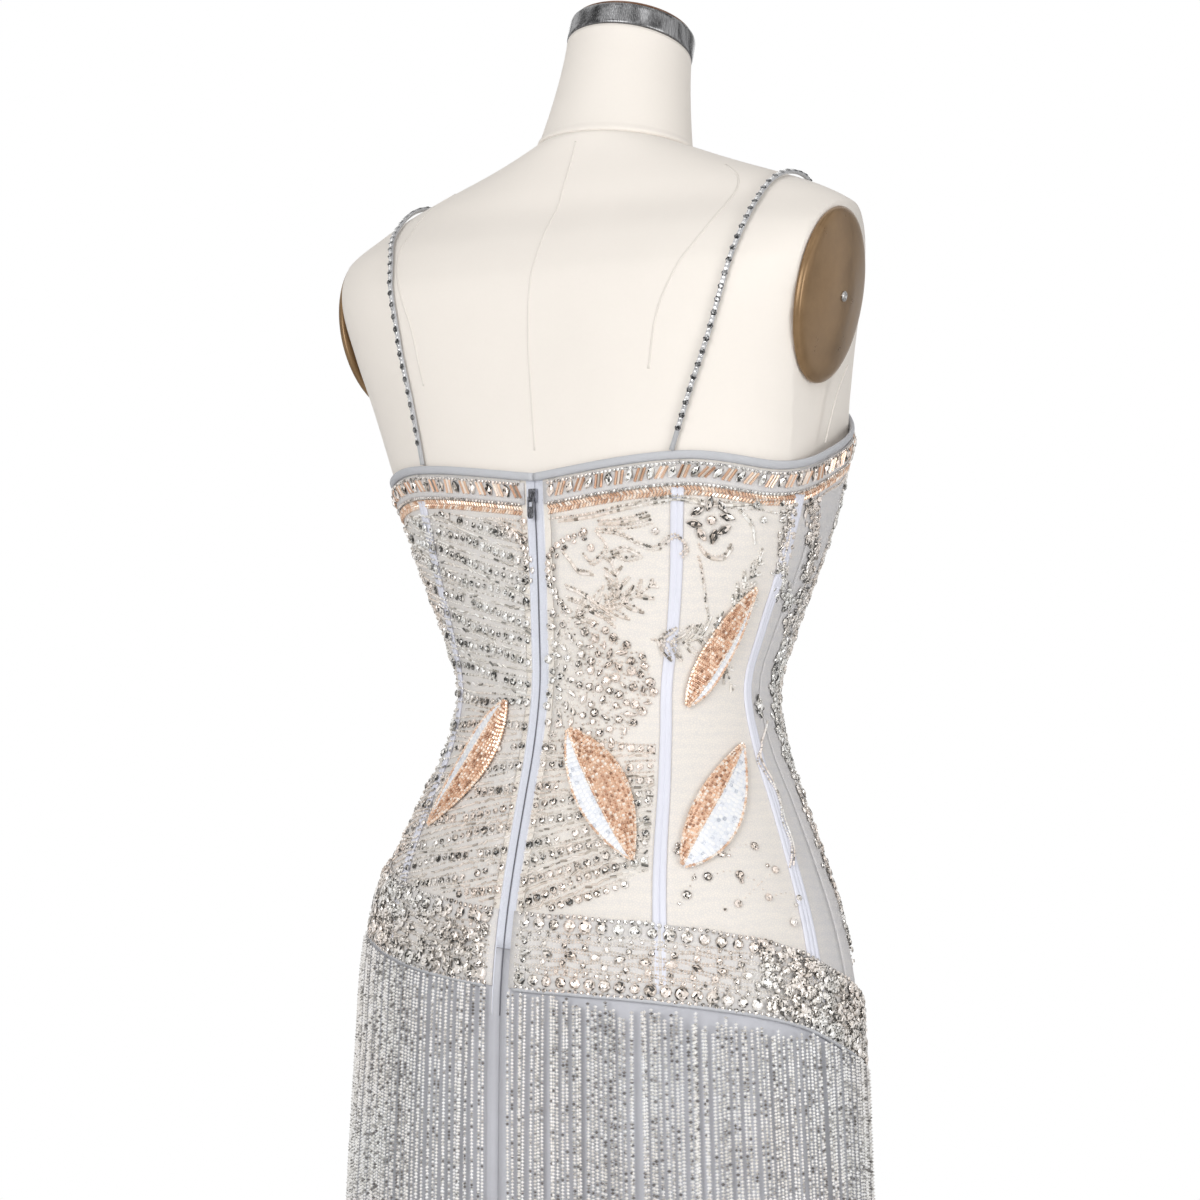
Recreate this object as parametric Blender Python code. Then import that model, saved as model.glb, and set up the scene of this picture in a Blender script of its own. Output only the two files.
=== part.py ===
"""Mermaid evening gown on a limbless dress form with a pole stand.

Metres, +Z up. The gown's front faces -Y and the wearer's left is +X.
The origin is the middle of the underside of the stand's base.
Columns run round the body from the centre back: a quarter of them to the
wearer's right side, a half to the centre front, and on round to the back.
"""
import math
from collections import namedtuple

import bmesh
import bpy
from mathutils import Matrix, Vector
from mathutils.bvhtree import BVHTree

# Gaps and thicknesses
SEAM_GAP = 0.0003
CLOTH_INNER = 0.0009
CLOTH_OUTER = 0.0021
TRIM_GAP = 0.0006
TRIM_INNER = CLOTH_OUTER + TRIM_GAP

# Columns round the body
COLUMNS = 40
COLUMN_TURN = 2.0 * math.pi / COLUMNS
SIDE_COLUMN = COLUMNS // 4
WAIST_HEIGHT = 1.04
WAIST_SPREAD = math.radians(10.0)
WAIST_SPREAD_REACH = 0.09

# Dress form
FORM_UNDERSIDE = 0.70
FORM_TOP = 1.42
NECK_RISE_START = 1.33
NECK_RISE = 0.16
ARM_CENTRE = Vector((0.1805, 0.0224, 1.3037))
ARM_YAW = math.radians(5.3)
ARM_TILT = math.radians(9.9)
ARM_ROLL = math.radians(-7.0)
ARM_PLATE_HALF_DEPTH = 0.0513
ARM_PLATE_HALF_HEIGHT = 0.061
NECK_TOP_CENTRE = Vector((0.0, -0.0167, 1.4952))
NECK_TOP_TILT = math.radians(17.8)
NECK_TOP_RADIUS = 0.0450
NECK_SIDES = 28
CAP_HEIGHT = 0.017
CAP_RADIUS = 0.0457
POLE_RADIUS = 0.0165
POLE_FLANGE_RADIUS = 0.045
BASE_RADIUS = 0.150
BASE_HUB_TOP = 0.030
ROUND_SIDES = 40

# Gown
ZIP_HALF_COLUMNS = 0.45
BAND_HEIGHT = 0.051
BAND_PARTS = 3
NECK_BAND_HEIGHT = 0.015
BONE_HALF_COLUMNS = 0.19
HEM_HEIGHT = 0.014
FRINGE_END = 0.035
FRINGE_PARTS = 3
FRINGE_THICKNESS = 0.0026
FRINGE_STAND_OFF = 0.0030
FLUTE_COUNT = 8
FLUTE_DEPTH = 0.026
FLUTE_START = 0.46
STRAP_RADIUS = 0.0023
STRAP_SIDES = 6
STRAP_CLEARANCE = 0.0009

Section = namedtuple("Section", "z half back front back_power front_power")

BODY = [
    Section(0.680, 0.1895, 0.147, 0.079, 2.2, 2.0),
    Section(0.740, 0.187, 0.147, 0.079, 2.15, 2.0),
    Section(0.800, 0.184, 0.146, 0.081, 2.1, 2.05),
    Section(0.840, 0.180, 0.144, 0.082, 2.15, 2.1),
    Section(0.880, 0.1705, 0.138, 0.084, 2.3, 2.1),
    Section(0.920, 0.156, 0.128, 0.086, 2.4, 2.1),
    Section(0.960, 0.1395, 0.116, 0.089, 2.25, 2.1),
    Section(1.000, 0.122, 0.104, 0.094, 2.1, 2.1),
    Section(1.040, 0.1135, 0.097, 0.103, 2.1, 2.1),
    Section(1.080, 0.127, 0.098, 0.107, 2.1, 2.1),
    Section(1.120, 0.1445, 0.100, 0.112, 2.2, 2.1),
    Section(1.160, 0.158, 0.103, 0.118, 2.4, 2.2),
    Section(1.200, 0.1683, 0.106, 0.120, 2.65, 2.2),
    Section(1.240, 0.1780, 0.111, 0.110, 2.95, 2.0),
    Section(1.280, 0.1915, 0.1145, 0.0955, 3.15, 1.85),
    Section(1.320, 0.206, 0.111, 0.078, 3.2, 1.9),
    Section(1.345, 0.212, 0.0966, 0.0652, 2.8, 1.9),
    Section(1.366, 0.195, 0.078, 0.054, 2.3, 2.0),
    Section(1.383, 0.165, 0.069, 0.046, 2.05, 1.95),
    Section(1.404, 0.103, 0.058, 0.043, 2.0, 2.0),
    Section(1.420, 0.058, 0.052, 0.042, 2.0, 2.0),
]

SKIRT = [
    Section(0.012, 0.320, 0.330, 0.262, 2.0, 2.0),
    Section(0.100, 0.284, 0.276, 0.224, 2.0, 2.0),
    Section(0.200, 0.240, 0.218, 0.178, 2.0, 2.0),
    Section(0.300, 0.203, 0.168, 0.136, 2.0, 2.0),
    Section(0.380, 0.184, 0.142, 0.110, 2.1, 2.1),
    Section(0.460, 0.177, 0.132, 0.096, 2.1, 2.1),
    Section(0.540, 0.180, 0.135, 0.087, 2.1, 2.1),
    Section(0.620, 0.186, 0.142, 0.082, 2.15, 2.05),
] + BODY

# Where the fringe hangs: plumb from the hips until the flare takes it out
HANG = [
    Section(0.012, 0.326, 0.337, 0.268, 2.0, 2.0),
    Section(0.100, 0.291, 0.284, 0.231, 2.0, 2.0),
    Section(0.200, 0.249, 0.228, 0.188, 2.0, 2.0),
    Section(0.300, 0.216, 0.182, 0.148, 2.0, 2.0),
    Section(0.380, 0.200, 0.158, 0.122, 2.1, 2.1),
    Section(0.460, 0.195, 0.149, 0.106, 2.1, 2.1),
    Section(0.540, 0.1925, 0.148, 0.093, 2.1, 2.1),
    Section(0.620, 0.1910, 0.148, 0.085, 2.15, 2.05),
] + BODY

FORM_LEVELS = [0.70, 0.77, 0.83, 0.88]
SHARED_LEVELS = [0.93, 0.965, 0.995, 1.02, 1.045, 1.075, 1.12, 1.165]
SHOULDER_LEVELS = [1.19, 1.215, 1.24, 1.265, 1.29, 1.315, 1.335, 1.352, 1.366, 1.383, 1.395, 1.408, FORM_TOP]
SKIRT_LEVELS = [HEM_HEIGHT, 0.09, 0.17, 0.25, 0.32, 0.38, 0.45, 0.58, 0.70, 0.735]
FRINGE_LEVELS = [0.84, 0.79, 0.68, 0.42, 0.24, FRINGE_END]

# Heights of the gown's edges, by column
TOP_EDGE = [(0, 1.179), (4, 1.190), (7, 1.184), (9, 1.190), (12, 1.212), (16, 1.245), (20, 1.226)]
BAND_TOP = [
    (0, 0.888), (4, 0.880), (7.5, 0.865), (10, 0.842), (13, 0.824), (17, 0.828),
    (20, 0.850), (25, 0.895), (30, 0.926), (34, 0.918), (37.5, 0.898), (40, 0.888),
]


def hermite(low, high, low_slope, high_slope, share):
    """Value between two knots of a smooth curve."""
    square = share * share
    cube = square * share
    return (
        (2 * cube - 3 * square + 1) * low
        + (cube - 2 * square + share) * low_slope
        + (3 * square - 2 * cube) * high
        + (cube - square) * high_slope
    )


def smooth_value(knots, position):
    """Smooth curve through (position, value) pairs."""
    position = min(max(position, knots[0][0]), knots[-1][0])
    index = 0
    while index < len(knots) - 2 and position > knots[index + 1][0]:
        index += 1

    def slope(at):
        before = knots[max(at - 1, 0)]
        after = knots[min(at + 1, len(knots) - 1)]
        return (after[1] - before[1]) / (after[0] - before[0])

    span = knots[index + 1][0] - knots[index][0]
    share = (position - knots[index][0]) / span
    return hermite(
        knots[index][1], knots[index + 1][1], slope(index) * span, slope(index + 1) * span, share
    )


def section_at(table, z):
    """Cross-section of the table at a height."""
    values = []
    for name in Section._fields[1:]:
        values.append(smooth_value([(row.z, getattr(row, name)) for row in table], z))
    return Section(z, *values)


SECTION_CACHE = {}


def cached_section(table, z):
    """Cross-section at a height, worked out once."""
    key = (id(table), round(z, 6))
    if key not in SECTION_CACHE:
        SECTION_CACHE[key] = section_at(table, z)
    return SECTION_CACHE[key]


def column_angle(column, z):
    """Angle from the centre back; columns spread to the sides at the waist."""
    plain = column * COLUMN_TURN
    nearness = math.exp(-(((z - WAIST_HEIGHT) / WAIST_SPREAD_REACH) ** 2))
    return plain + WAIST_SPREAD * nearness * math.sin(2.0 * plain)


def outline_point(section, angle, offset):
    """Point on a cross-section moved out along its own normal."""
    across = -math.sin(angle)
    along = math.cos(angle)
    depth = section.back if along > 0 else section.front
    power = section.back_power if along > 0 else section.front_power
    size = (abs(across) ** power + abs(along) ** power) ** (-1.0 / power)
    x = section.half * across * size
    y = depth * along * size
    normal = Vector((
        math.copysign(abs(across * size) ** (power - 1.0) / section.half, across),
        math.copysign(abs(along * size) ** (power - 1.0) / depth, along),
    )).normalized()
    return x + normal.x * offset, y + normal.y * offset


def flute(column, z):
    """How far the skirt's flutes move a point out."""
    if z >= FLUTE_START:
        return 0.0
    share = (FLUTE_START - z) / FLUTE_START
    return FLUTE_DEPTH * share ** 1.6 * math.cos(FLUTE_COUNT * column * COLUMN_TURN)


def ring_point(table, column, z, offset):
    """Point on a whole column of the lattice."""
    section = cached_section(table, z)
    moved = offset + flute(column, z)
    x, y = outline_point(section, column_angle(column, z), moved)
    rise = 0.0
    if z > NECK_RISE_START:
        rise = NECK_RISE * (z - NECK_RISE_START) / (FORM_TOP - NECK_RISE_START)
    return Vector((x, y, z + rise * y))


def lattice_point(table, column, z, offset):
    """Point on a flat facet between two whole columns."""
    low = math.floor(column + 1e-9)
    share = column - low
    start = ring_point(table, low, z, offset)
    if share < 1e-9:
        return start
    return start.lerp(ring_point(table, low + 1, z, offset), share)


def bodice_point(column, z, offset):
    """Point on the bodice's flat facets, between the shared levels too."""
    for low, high in zip(SHARED_LEVELS, SHARED_LEVELS[1:]):
        if low <= z <= high:
            start = lattice_point(BODY, column, low, offset)
            return start.lerp(lattice_point(BODY, column, high, offset), (z - low) / (high - low))
    return lattice_point(BODY, column, z, offset)


def material(name, colour, roughness, metallic=0.0):
    """Principled material."""
    made = bpy.data.materials.get(name)
    if made is None:
        made = bpy.data.materials.new(name)
        made.use_nodes = True
        shader = made.node_tree.nodes["Principled BSDF"]
        shader.inputs["Base Color"].default_value = (*colour, 1.0)
        shader.inputs["Roughness"].default_value = roughness
        shader.inputs["Metallic"].default_value = metallic
    return made


def finish_piece(name, mesh_data, surface, smooth=True, smooth_angle=45.0):
    """Make an object from a closed bmesh."""
    bmesh.ops.recalc_face_normals(mesh_data, faces=mesh_data.faces)
    limit = math.radians(smooth_angle)
    for face in mesh_data.faces:
        face.smooth = smooth
    for edge in mesh_data.edges:
        if len(edge.link_faces) == 2 and edge.calc_face_angle(0.0) > limit:
            edge.smooth = False
    mesh = bpy.data.meshes.new(name)
    mesh_data.to_mesh(mesh)
    mesh_data.free()
    piece = bpy.data.objects.new(name, mesh)
    bpy.context.scene.collection.objects.link(piece)
    mesh.materials.append(surface)
    return piece


def add_grid(mesh_data, rows, closed):
    """Vertices and faces of a grid of points."""
    verts = [[mesh_data.verts.new(point) for point in row] for row in rows]
    count = len(rows[0])
    last = count if closed else count - 1
    for low, high in zip(verts, verts[1:]):
        for index in range(last):
            after = (index + 1) % count
            mesh_data.faces.new((low[index], low[after], high[after], high[index]))
    return verts


def wall(name, outer, inner, surface, closed=False, smooth_angle=45.0):
    """Closed wall between two grids of points with the same number of columns."""
    mesh_data = bmesh.new()
    out = add_grid(mesh_data, outer, closed)
    back = add_grid(mesh_data, inner, closed)
    count = len(outer[0])
    last = count if closed else count - 1
    for side in (0, -1):
        for index in range(last):
            after = (index + 1) % count
            mesh_data.faces.new((out[side][index], out[side][after], back[side][after], back[side][index]))
    if not closed and len(outer) != len(inner):
        for side in (0, -1):
            mesh_data.faces.new([row[side] for row in out] + [row[side] for row in back[::-1]])
    elif not closed:
        for side in (0, -1):
            for row in range(len(outer) - 1):
                mesh_data.faces.new((
                    out[row][side], out[row + 1][side], back[row + 1][side], back[row][side]
                ))
    return finish_piece(name, mesh_data, surface, smooth_angle=smooth_angle)


def stacked_solid(mesh_data, rings):
    """Solid through rings of points, with flat ends."""
    verts = add_grid(mesh_data, rings, True)
    mesh_data.faces.new(verts[0])
    mesh_data.faces.new(verts[-1])
    return verts


def turned(name, profile, surface, sides=ROUND_SIDES, smooth_angle=40.0):
    """Solid of revolution about the Z axis from (radius, height) pairs."""
    mesh_data = bmesh.new()
    rings = []
    for radius, z in profile:
        turn = 2.0 * math.pi / sides
        rings.append([
            Vector((radius * math.cos(turn * side), radius * math.sin(turn * side), z))
            for side in range(sides)
        ])
    stacked_solid(mesh_data, rings)
    return finish_piece(name, mesh_data, surface, smooth_angle=smooth_angle)


def placed_disc(name, frame, half_x, half_y, profile, surface, sides):
    """Oval disc on a placed plane from (size share, height) pairs."""
    mesh_data = bmesh.new()
    rings = []
    for share, height in profile:
        ring = []
        for side in range(sides):
            angle = 2.0 * math.pi * side / sides
            local = Vector((half_x * share * math.cos(angle), half_y * share * math.sin(angle), height))
            ring.append(frame @ local)
        rings.append(ring)
    stacked_solid(mesh_data, rings)
    return finish_piece(name, mesh_data, surface, smooth_angle=40.0)


def box_into(mesh_data, low, high):
    """Box between two corners, as part of a bmesh."""
    corners = [
        mesh_data.verts.new((x, y, z))
        for z in (low[2], high[2]) for y in (low[1], high[1]) for x in (low[0], high[0])
    ]
    for face in ((0, 1, 3, 2), (4, 5, 7, 6), (0, 1, 5, 4), (2, 3, 7, 6), (0, 2, 6, 4), (1, 3, 7, 5)):
        mesh_data.faces.new([corners[index] for index in face])


def top_edge(column):
    """Height of the bodice's top edge; the same on both sides of the body."""
    folded = column % COLUMNS
    if folded > COLUMNS / 2:
        folded = COLUMNS - folded
    return smooth_value(TOP_EDGE, folded)


def band_top(column):
    """Height of the hip band's upper edge."""
    return smooth_value(BAND_TOP, column % COLUMNS if column < COLUMNS else column)


def steps(low, high, count):
    """Evenly spaced values from low to just under high."""
    return [low + (high - low) * index / count for index in range(count)]


def column_list(start, end):
    """The two ends of a span with every whole column between."""
    inside = [column for column in range(math.ceil(start), math.floor(end) + 1)]
    values = [start] + [column for column in inside if start + 0.02 < column < end - 0.02] + [end]
    return values


def arm_frame(side):
    """Placement of an arm plate: its own Z points out of the armhole."""
    normal = Vector((
        side * math.cos(ARM_TILT) * math.cos(ARM_YAW),
        -math.cos(ARM_TILT) * math.sin(ARM_YAW),
        -math.sin(ARM_TILT),
    ))
    centre = Vector((side * ARM_CENTRE.x, ARM_CENTRE.y, ARM_CENTRE.z))
    upright = (Vector((0.0, 0.0, 1.0)) - normal * normal.z).normalized()
    across = upright.cross(normal)
    frame = Matrix((across, upright, normal)).transposed().to_4x4()
    frame = frame @ Matrix.Rotation(-side * ARM_ROLL, 4, "Z")
    frame.translation = centre
    return frame


def build_form(surfaces):
    """Dress form torso, neck, cap, arm plates, pole and base."""
    cloth = surfaces["form_cloth"]
    levels = FORM_LEVELS + SHARED_LEVELS + SHOULDER_LEVELS
    mesh_data = bmesh.new()
    rings = [[ring_point(BODY, column, z, 0.0) for column in range(COLUMNS)] for z in levels]
    stacked_solid(mesh_data, rings)
    bmesh.ops.recalc_face_normals(mesh_data, faces=mesh_data.faces)
    for side in (1.0, -1.0):
        frame = arm_frame(side)
        geometry = mesh_data.verts[:] + mesh_data.edges[:] + mesh_data.faces[:]
        cut = bmesh.ops.bisect_plane(
            mesh_data, geom=geometry, dist=0.0006, plane_co=frame.translation,
            plane_no=frame.col[2].xyz, clear_outer=True,
        )
        edges = [item for item in cut["geom_cut"] if isinstance(item, bmesh.types.BMEdge)]
        bmesh.ops.edgeloop_fill(mesh_data, edges=edges)
    torso = finish_piece("form_torso", mesh_data, cloth, smooth_angle=38.0)

    neck_rings = []
    tilt = Matrix.Rotation(NECK_TOP_TILT, 3, "X")
    seam_shape = ((0.0, 0.0006), (0.03, 0.0016), (0.07, 0.0))
    for share, proud in seam_shape + ((0.3, 0.0), (0.55, 0.0), (0.8, 0.0), (1.0, 0.0)):
        ring = []
        for side in range(NECK_SIDES):
            angle = 2.0 * math.pi * side / NECK_SIDES
            section = cached_section(BODY, FORM_TOP)
            x, y = outline_point(section, angle, proud)
            low = Vector((x, y, FORM_TOP + NECK_RISE * y + SEAM_GAP))
            flat = Vector((-math.sin(angle), math.cos(angle), 0.0)) * (NECK_TOP_RADIUS + proud)
            high = NECK_TOP_CENTRE + tilt @ flat
            pinch = 1.0 - (1.0 - share) ** 1.5
            middle = low.lerp(high, share)
            spread = low.lerp(high, pinch)
            ring.append(Vector((spread.x, spread.y * 0.4 + middle.y * 0.6, middle.z)))
        neck_rings.append(ring)
    mesh_data = bmesh.new()
    stacked_solid(mesh_data, neck_rings)
    finish_piece("form_neck", mesh_data, cloth)

    neck_frame = tilt.to_4x4()
    neck_frame.translation = NECK_TOP_CENTRE
    low = SEAM_GAP
    placed_disc(
        "neck_cap_ring", neck_frame, CAP_RADIUS, CAP_RADIUS,
        ((0.965, low), (1.0, low + 0.0015), (1.0, CAP_HEIGHT - 0.0015), (0.965, CAP_HEIGHT)),
        surfaces["cap_steel"], NECK_SIDES,
    )
    low = CAP_HEIGHT + SEAM_GAP
    placed_disc(
        "neck_cap_top", neck_frame, 0.0435, 0.0435,
        ((1.0, low), (0.97, low + 0.002), (0.75, low + 0.0045), (0.35, low + 0.0065), (0.10, low + 0.007)),
        surfaces["cap_brown"], NECK_SIDES,
    )
    for side, word in ((1.0, "left"), (-1.0, "right")):
        frame = arm_frame(side)
        placed_disc(
            "arm_plate_" + word, frame, ARM_PLATE_HALF_DEPTH, ARM_PLATE_HALF_HEIGHT,
            ((0.98, SEAM_GAP), (1.0, 0.0040), (0.94, 0.0068), (0.68, 0.0098), (0.36, 0.0116), (0.10, 0.0120)),
            surfaces["plate_brown"], NECK_SIDES,
        )
        placed_disc(
            "arm_screw_" + word, frame, 0.0036, 0.0036,
            ((1.0, 0.0120 + SEAM_GAP), (1.0, 0.0145), (0.8, 0.0152)),
            surfaces["screw_steel"], 6,
        )
    turned(
        "form_base",
        ((BASE_RADIUS, 0.0), (BASE_RADIUS, 0.006), (BASE_RADIUS - 0.005, 0.0105), (0.036, 0.0135),
         (0.030, 0.016), (0.028, BASE_HUB_TOP)),
        surfaces["stand_steel"],
    )
    turned(
        "form_pole",
        ((POLE_RADIUS, BASE_HUB_TOP + SEAM_GAP), (POLE_RADIUS, 0.672), (0.024, 0.680), (0.024, 0.688),
         (POLE_FLANGE_RADIUS, 0.691), (POLE_FLANGE_RADIUS, FORM_UNDERSIDE - SEAM_GAP)),
        surfaces["stand_steel"], sides=24,
    )
    return torso


def bodice_levels(column, top_rows):
    """Heights of a bodice panel's rows at a column."""
    levels = steps(bodice_bottom(column), SHARED_LEVELS[0], 3) + SHARED_LEVELS
    return levels + steps(top_edge(column), SHARED_LEVELS[-1], top_rows)[::-1]


def panel_rows(start, end, offset):
    """Grid of points for a bodice panel from the hip band to the top edge."""
    top_rows = 3 if start > SIDE_COLUMN and end < COLUMNS - SIDE_COLUMN else 1
    lists = []
    for column in column_list(start, end):
        lists.append([lattice_point(BODY, column, z, offset) for z in bodice_levels(column, top_rows)])
    return [list(row) for row in zip(*lists)]


def bodice_bottom(column):
    """The bodice and skirt meet under the hip band."""
    return band_top(column) - 0.5 * BAND_HEIGHT + 0.5 * SEAM_GAP


def build_bodice(surfaces):
    """Seven net panels, the zip tapes and the boning channels."""
    edge = 0.009
    seams = (
        ("bodice_back_right", ZIP_HALF_COLUMNS + edge, 4 - edge),
        ("bodice_side_back_right", 4 + edge, 10 - edge),
        ("bodice_side_front_right", 10 + edge, 16 - edge),
        ("bodice_front", 16 + edge, 24 - edge),
        ("bodice_side_front_left", 24 + edge, 30 - edge),
        ("bodice_side_back_left", 30 + edge, 36 - edge),
        ("bodice_back_left", 36 + edge, COLUMNS - ZIP_HALF_COLUMNS - edge),
    )
    for name, start, end in seams:
        outer = panel_rows(start, end, CLOTH_OUTER)
        inner = panel_rows(start, end, CLOTH_INNER)
        wall(name, outer, inner, surfaces["net"])

    tapes = (
        ("zip_tape_right", edge, ZIP_HALF_COLUMNS - edge),
        ("zip_tape_left", COLUMNS - ZIP_HALF_COLUMNS + edge, COLUMNS - edge),
    )
    for name, start, end in tapes:
        outer = panel_rows(start, end, CLOTH_OUTER)
        inner = panel_rows(start, end, CLOTH_INNER)
        wall(name, outer, inner, surfaces["tape"])

    def bone_low(column):
        return band_top(column) + 0.004

    def bone_high(column):
        return top_edge(column) - NECK_BAND_HEIGHT - 0.009

    bones = (
        ("boning_back_right", 4.0), ("boning_side_right", 8.5), ("boning_front_right", 16.0),
        ("boning_front_left", 24.0), ("boning_side_left", 31.5), ("boning_back_left", 36.0),
    )
    for name, centre in bones:
        low = bone_low(centre)
        high = bone_high(centre)
        top_rows = 3 if "front" in name else 1
        inside = [z for z in bodice_levels(centre, top_rows) if low + 0.008 < z < high - 0.008]
        levels = [low] + inside + [high]
        whole = abs(centre - round(centre)) < 0.01
        spread = (-1.0, 0.0, 1.0) if whole else (-1.0, 1.0)
        columns = [centre + BONE_HALF_COLUMNS * step for step in spread]
        outer = [[lattice_point(BODY, column, z, TRIM_INNER + 0.0016) for column in columns] for z in levels]
        inner = [[lattice_point(BODY, column, z, TRIM_INNER) for column in columns] for z in levels]
        wall(name, outer, inner, surfaces["satin"])


def split_columns(start, end, parts):
    """Whole columns each split in equal parts, with the two ends."""
    first = math.ceil(start * parts)
    last = math.floor(end * parts)
    inside = [index / parts for index in range(first, last + 1)]
    return [start] + [column for column in inside if start + 0.1 < column < end - 0.1] + [end]


def build_trims(surfaces):
    """Top binding, beaded neckline band and beaded hip band."""
    start = 0.012
    end = COLUMNS - start
    columns = column_list(start, end)
    section = ((-0.0001, 0.0), (0.0, 0.0032), (0.0016, 0.0052), (0.0034, 0.0032), (0.0033, 0.0))
    mesh_data = bmesh.new()
    rings = []
    for column in columns:
        foot = top_edge(column) + SEAM_GAP
        rings.append([
            lattice_point(BODY, column, foot + rise, CLOTH_INNER + out) for out, rise in section
        ])
    stacked_solid(mesh_data, rings)
    finish_piece("top_binding", mesh_data, surfaces["binding"], smooth_angle=60.0)

    start = ZIP_HALF_COLUMNS + 0.02
    end = COLUMNS - start
    columns = split_columns(start, end, 2)
    outer = []
    inner = []
    for row, share in enumerate((0.0, 0.5, 1.0)):
        out_row = []
        in_row = []
        for index, column in enumerate(columns):
            z = top_edge(column) - 0.002 - NECK_BAND_HEIGHT * (1.0 - share)
            raised = 0.0016 if row == 1 and index % 2 else 0.0
            out_row.append(lattice_point(BODY, column, z, TRIM_INNER + 0.0013 + raised))
            in_row.append(lattice_point(BODY, column, z, TRIM_INNER))
        outer.append(out_row)
        if row != 1:
            inner.append(in_row)
    wall("neckline_band", outer, inner, surfaces["beads"], smooth_angle=25.0)

    columns = split_columns(start, end, BAND_PARTS)
    outer = []
    inner = []
    for row, share in enumerate((0.0, 0.17, 0.5, 0.83, 1.0)):
        out_row = []
        in_row = []
        for index, column in enumerate(columns):
            z = band_top(column) - BAND_HEIGHT * (1.0 - share)
            raised = 0.0
            if row in (1, 3) and index % 2:
                raised = 0.0030
            if row == 2 and index % 4 == 2:
                raised = 0.0020
            out_row.append(lattice_point(SKIRT, column, z, TRIM_INNER + 0.0016 + raised))
            in_row.append(lattice_point(SKIRT, column, z, TRIM_INNER))
        outer.append(out_row)
        if row % 2 == 0:
            inner.append(in_row)
    wall("hip_band", outer, inner, surfaces["beads"], smooth_angle=25.0)


def skirt_rows(start, end, offset):
    """Grid of points of a skirt panel from hem to hip."""
    columns = column_list(start, end)
    lists = []
    for column in columns:
        high = band_top(column) - 0.5 * BAND_HEIGHT - 0.5 * SEAM_GAP
        levels = SKIRT_LEVELS + steps(high, SKIRT_LEVELS[-1], 5)[::-1]
        lists.append([lattice_point(SKIRT, column, z, offset) for z in levels])
    return [list(row) for row in zip(*lists)]


def build_skirt(surfaces):
    """Three skirt panels and the bead fringe."""
    edge = 0.009
    panels = (
        ("skirt_back_right", edge, 10 - edge),
        ("skirt_front", 10 + edge, 30 - edge),
        ("skirt_back_left", 30 + edge, COLUMNS - edge),
    )
    for name, start, end in panels:
        outer = skirt_rows(start, end, CLOTH_OUTER)
        inner = skirt_rows(start, end, CLOTH_INNER)
        wall(name, outer, inner, surfaces["lining"])

    start = ZIP_HALF_COLUMNS + 0.02
    end = COLUMNS - start
    columns = split_columns(start, end, FRINGE_PARTS)
    mesh_data = bmesh.new()
    near = TRIM_INNER
    far = near + FRINGE_THICKNESS
    grids = {}
    for layer, offset in (("inner", near), ("outer", far)):
        rows = []
        for drop in (0.0055, 0.0004):
            row = []
            for column in columns:
                z = band_top(column) - BAND_HEIGHT - drop
                row.append(mesh_data.verts.new(lattice_point(HANG, column, z, offset)))
            rows.append(row)
        grids[layer] = rows
    inner = grids["inner"]
    outer = grids["outer"]
    count = len(columns)
    for index in range(count - 1):
        for rows in (inner, outer):
            mesh_data.faces.new((rows[0][index], rows[0][index + 1], rows[1][index + 1], rows[1][index]))
        mesh_data.faces.new((inner[1][index], inner[1][index + 1], outer[1][index + 1], outer[1][index]))
        strand = index % 2 == 1 and 0 < index < count - 2
        if not strand:
            mesh_data.faces.new((inner[0][index], inner[0][index + 1], outer[0][index + 1], outer[0][index]))
            continue
        left = columns[index]
        right = columns[index + 1]
        middle = 0.5 * (left + right)
        half = 0.36 * (right - left)
        corners = ((middle - half, near), (middle + half, near), (middle + half, far), (middle - half, far))
        loop = [inner[0][index], inner[0][index + 1], outer[0][index + 1], outer[0][index]]
        root = band_top(middle) - BAND_HEIGHT
        for z in [level for level in FRINGE_LEVELS if level < root - 0.02]:
            ring = [
                mesh_data.verts.new(lattice_point(HANG, column, z, offset + FRINGE_STAND_OFF))
                for column, offset in corners
            ]
            for side in range(4):
                after = (side + 1) % 4
                mesh_data.faces.new((loop[side], loop[after], ring[after], ring[side]))
            loop = ring
        mesh_data.faces.new(loop)
    for side in (0, -1):
        mesh_data.faces.new((inner[0][side], inner[1][side], outer[1][side], outer[0][side]))
    finish_piece("bead_fringe", mesh_data, surfaces["beads"])


def curve_through(points, parts):
    """Smooth curve through points, each span cut in equal parts."""
    made = []
    for index in range(len(points) - 1):
        before = points[max(index - 1, 0)]
        low = points[index]
        high = points[index + 1]
        after = points[min(index + 2, len(points) - 1)]
        for part in range(parts):
            share = part / parts
            point = []
            for axis in range(3):
                low_slope = 0.5 * (high[axis] - before[axis])
                high_slope = 0.5 * (after[axis] - low[axis])
                point.append(hermite(low[axis], high[axis], low_slope, high_slope, share))
            made.append(Vector(point))
    made.append(Vector(points[-1]))
    return made


# Distance out from the centre back, then Y and Z: the wearer's left strap, then the right one
STRAP_FRONT = (
    (0.148, -0.022, 1.388), (0.141, -0.052, 1.362), (0.130, -0.080, 1.322), (0.116, -0.105, 1.285),
    (0.105, -0.105, 1.2570),
)
STRAP_PATHS = {
    "left": (
        (0.0985, 0.095, 1.1962), (0.103, 0.104, 1.238), (0.1085, 0.108, 1.272), (0.1165, 0.107, 1.310),
        (0.129, 0.093, 1.342), (0.147, 0.060, 1.368), (0.151, 0.020, 1.392),
    ) + STRAP_FRONT,
    "right": (
        (0.102, 0.093, 1.1963), (0.119, 0.0985, 1.235), (0.135, 0.101, 1.272), (0.1475, 0.099, 1.312),
        (0.1525, 0.083, 1.345), (0.1505, 0.050, 1.376), (0.151, 0.012, 1.389),
    ) + STRAP_FRONT,
}


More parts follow.
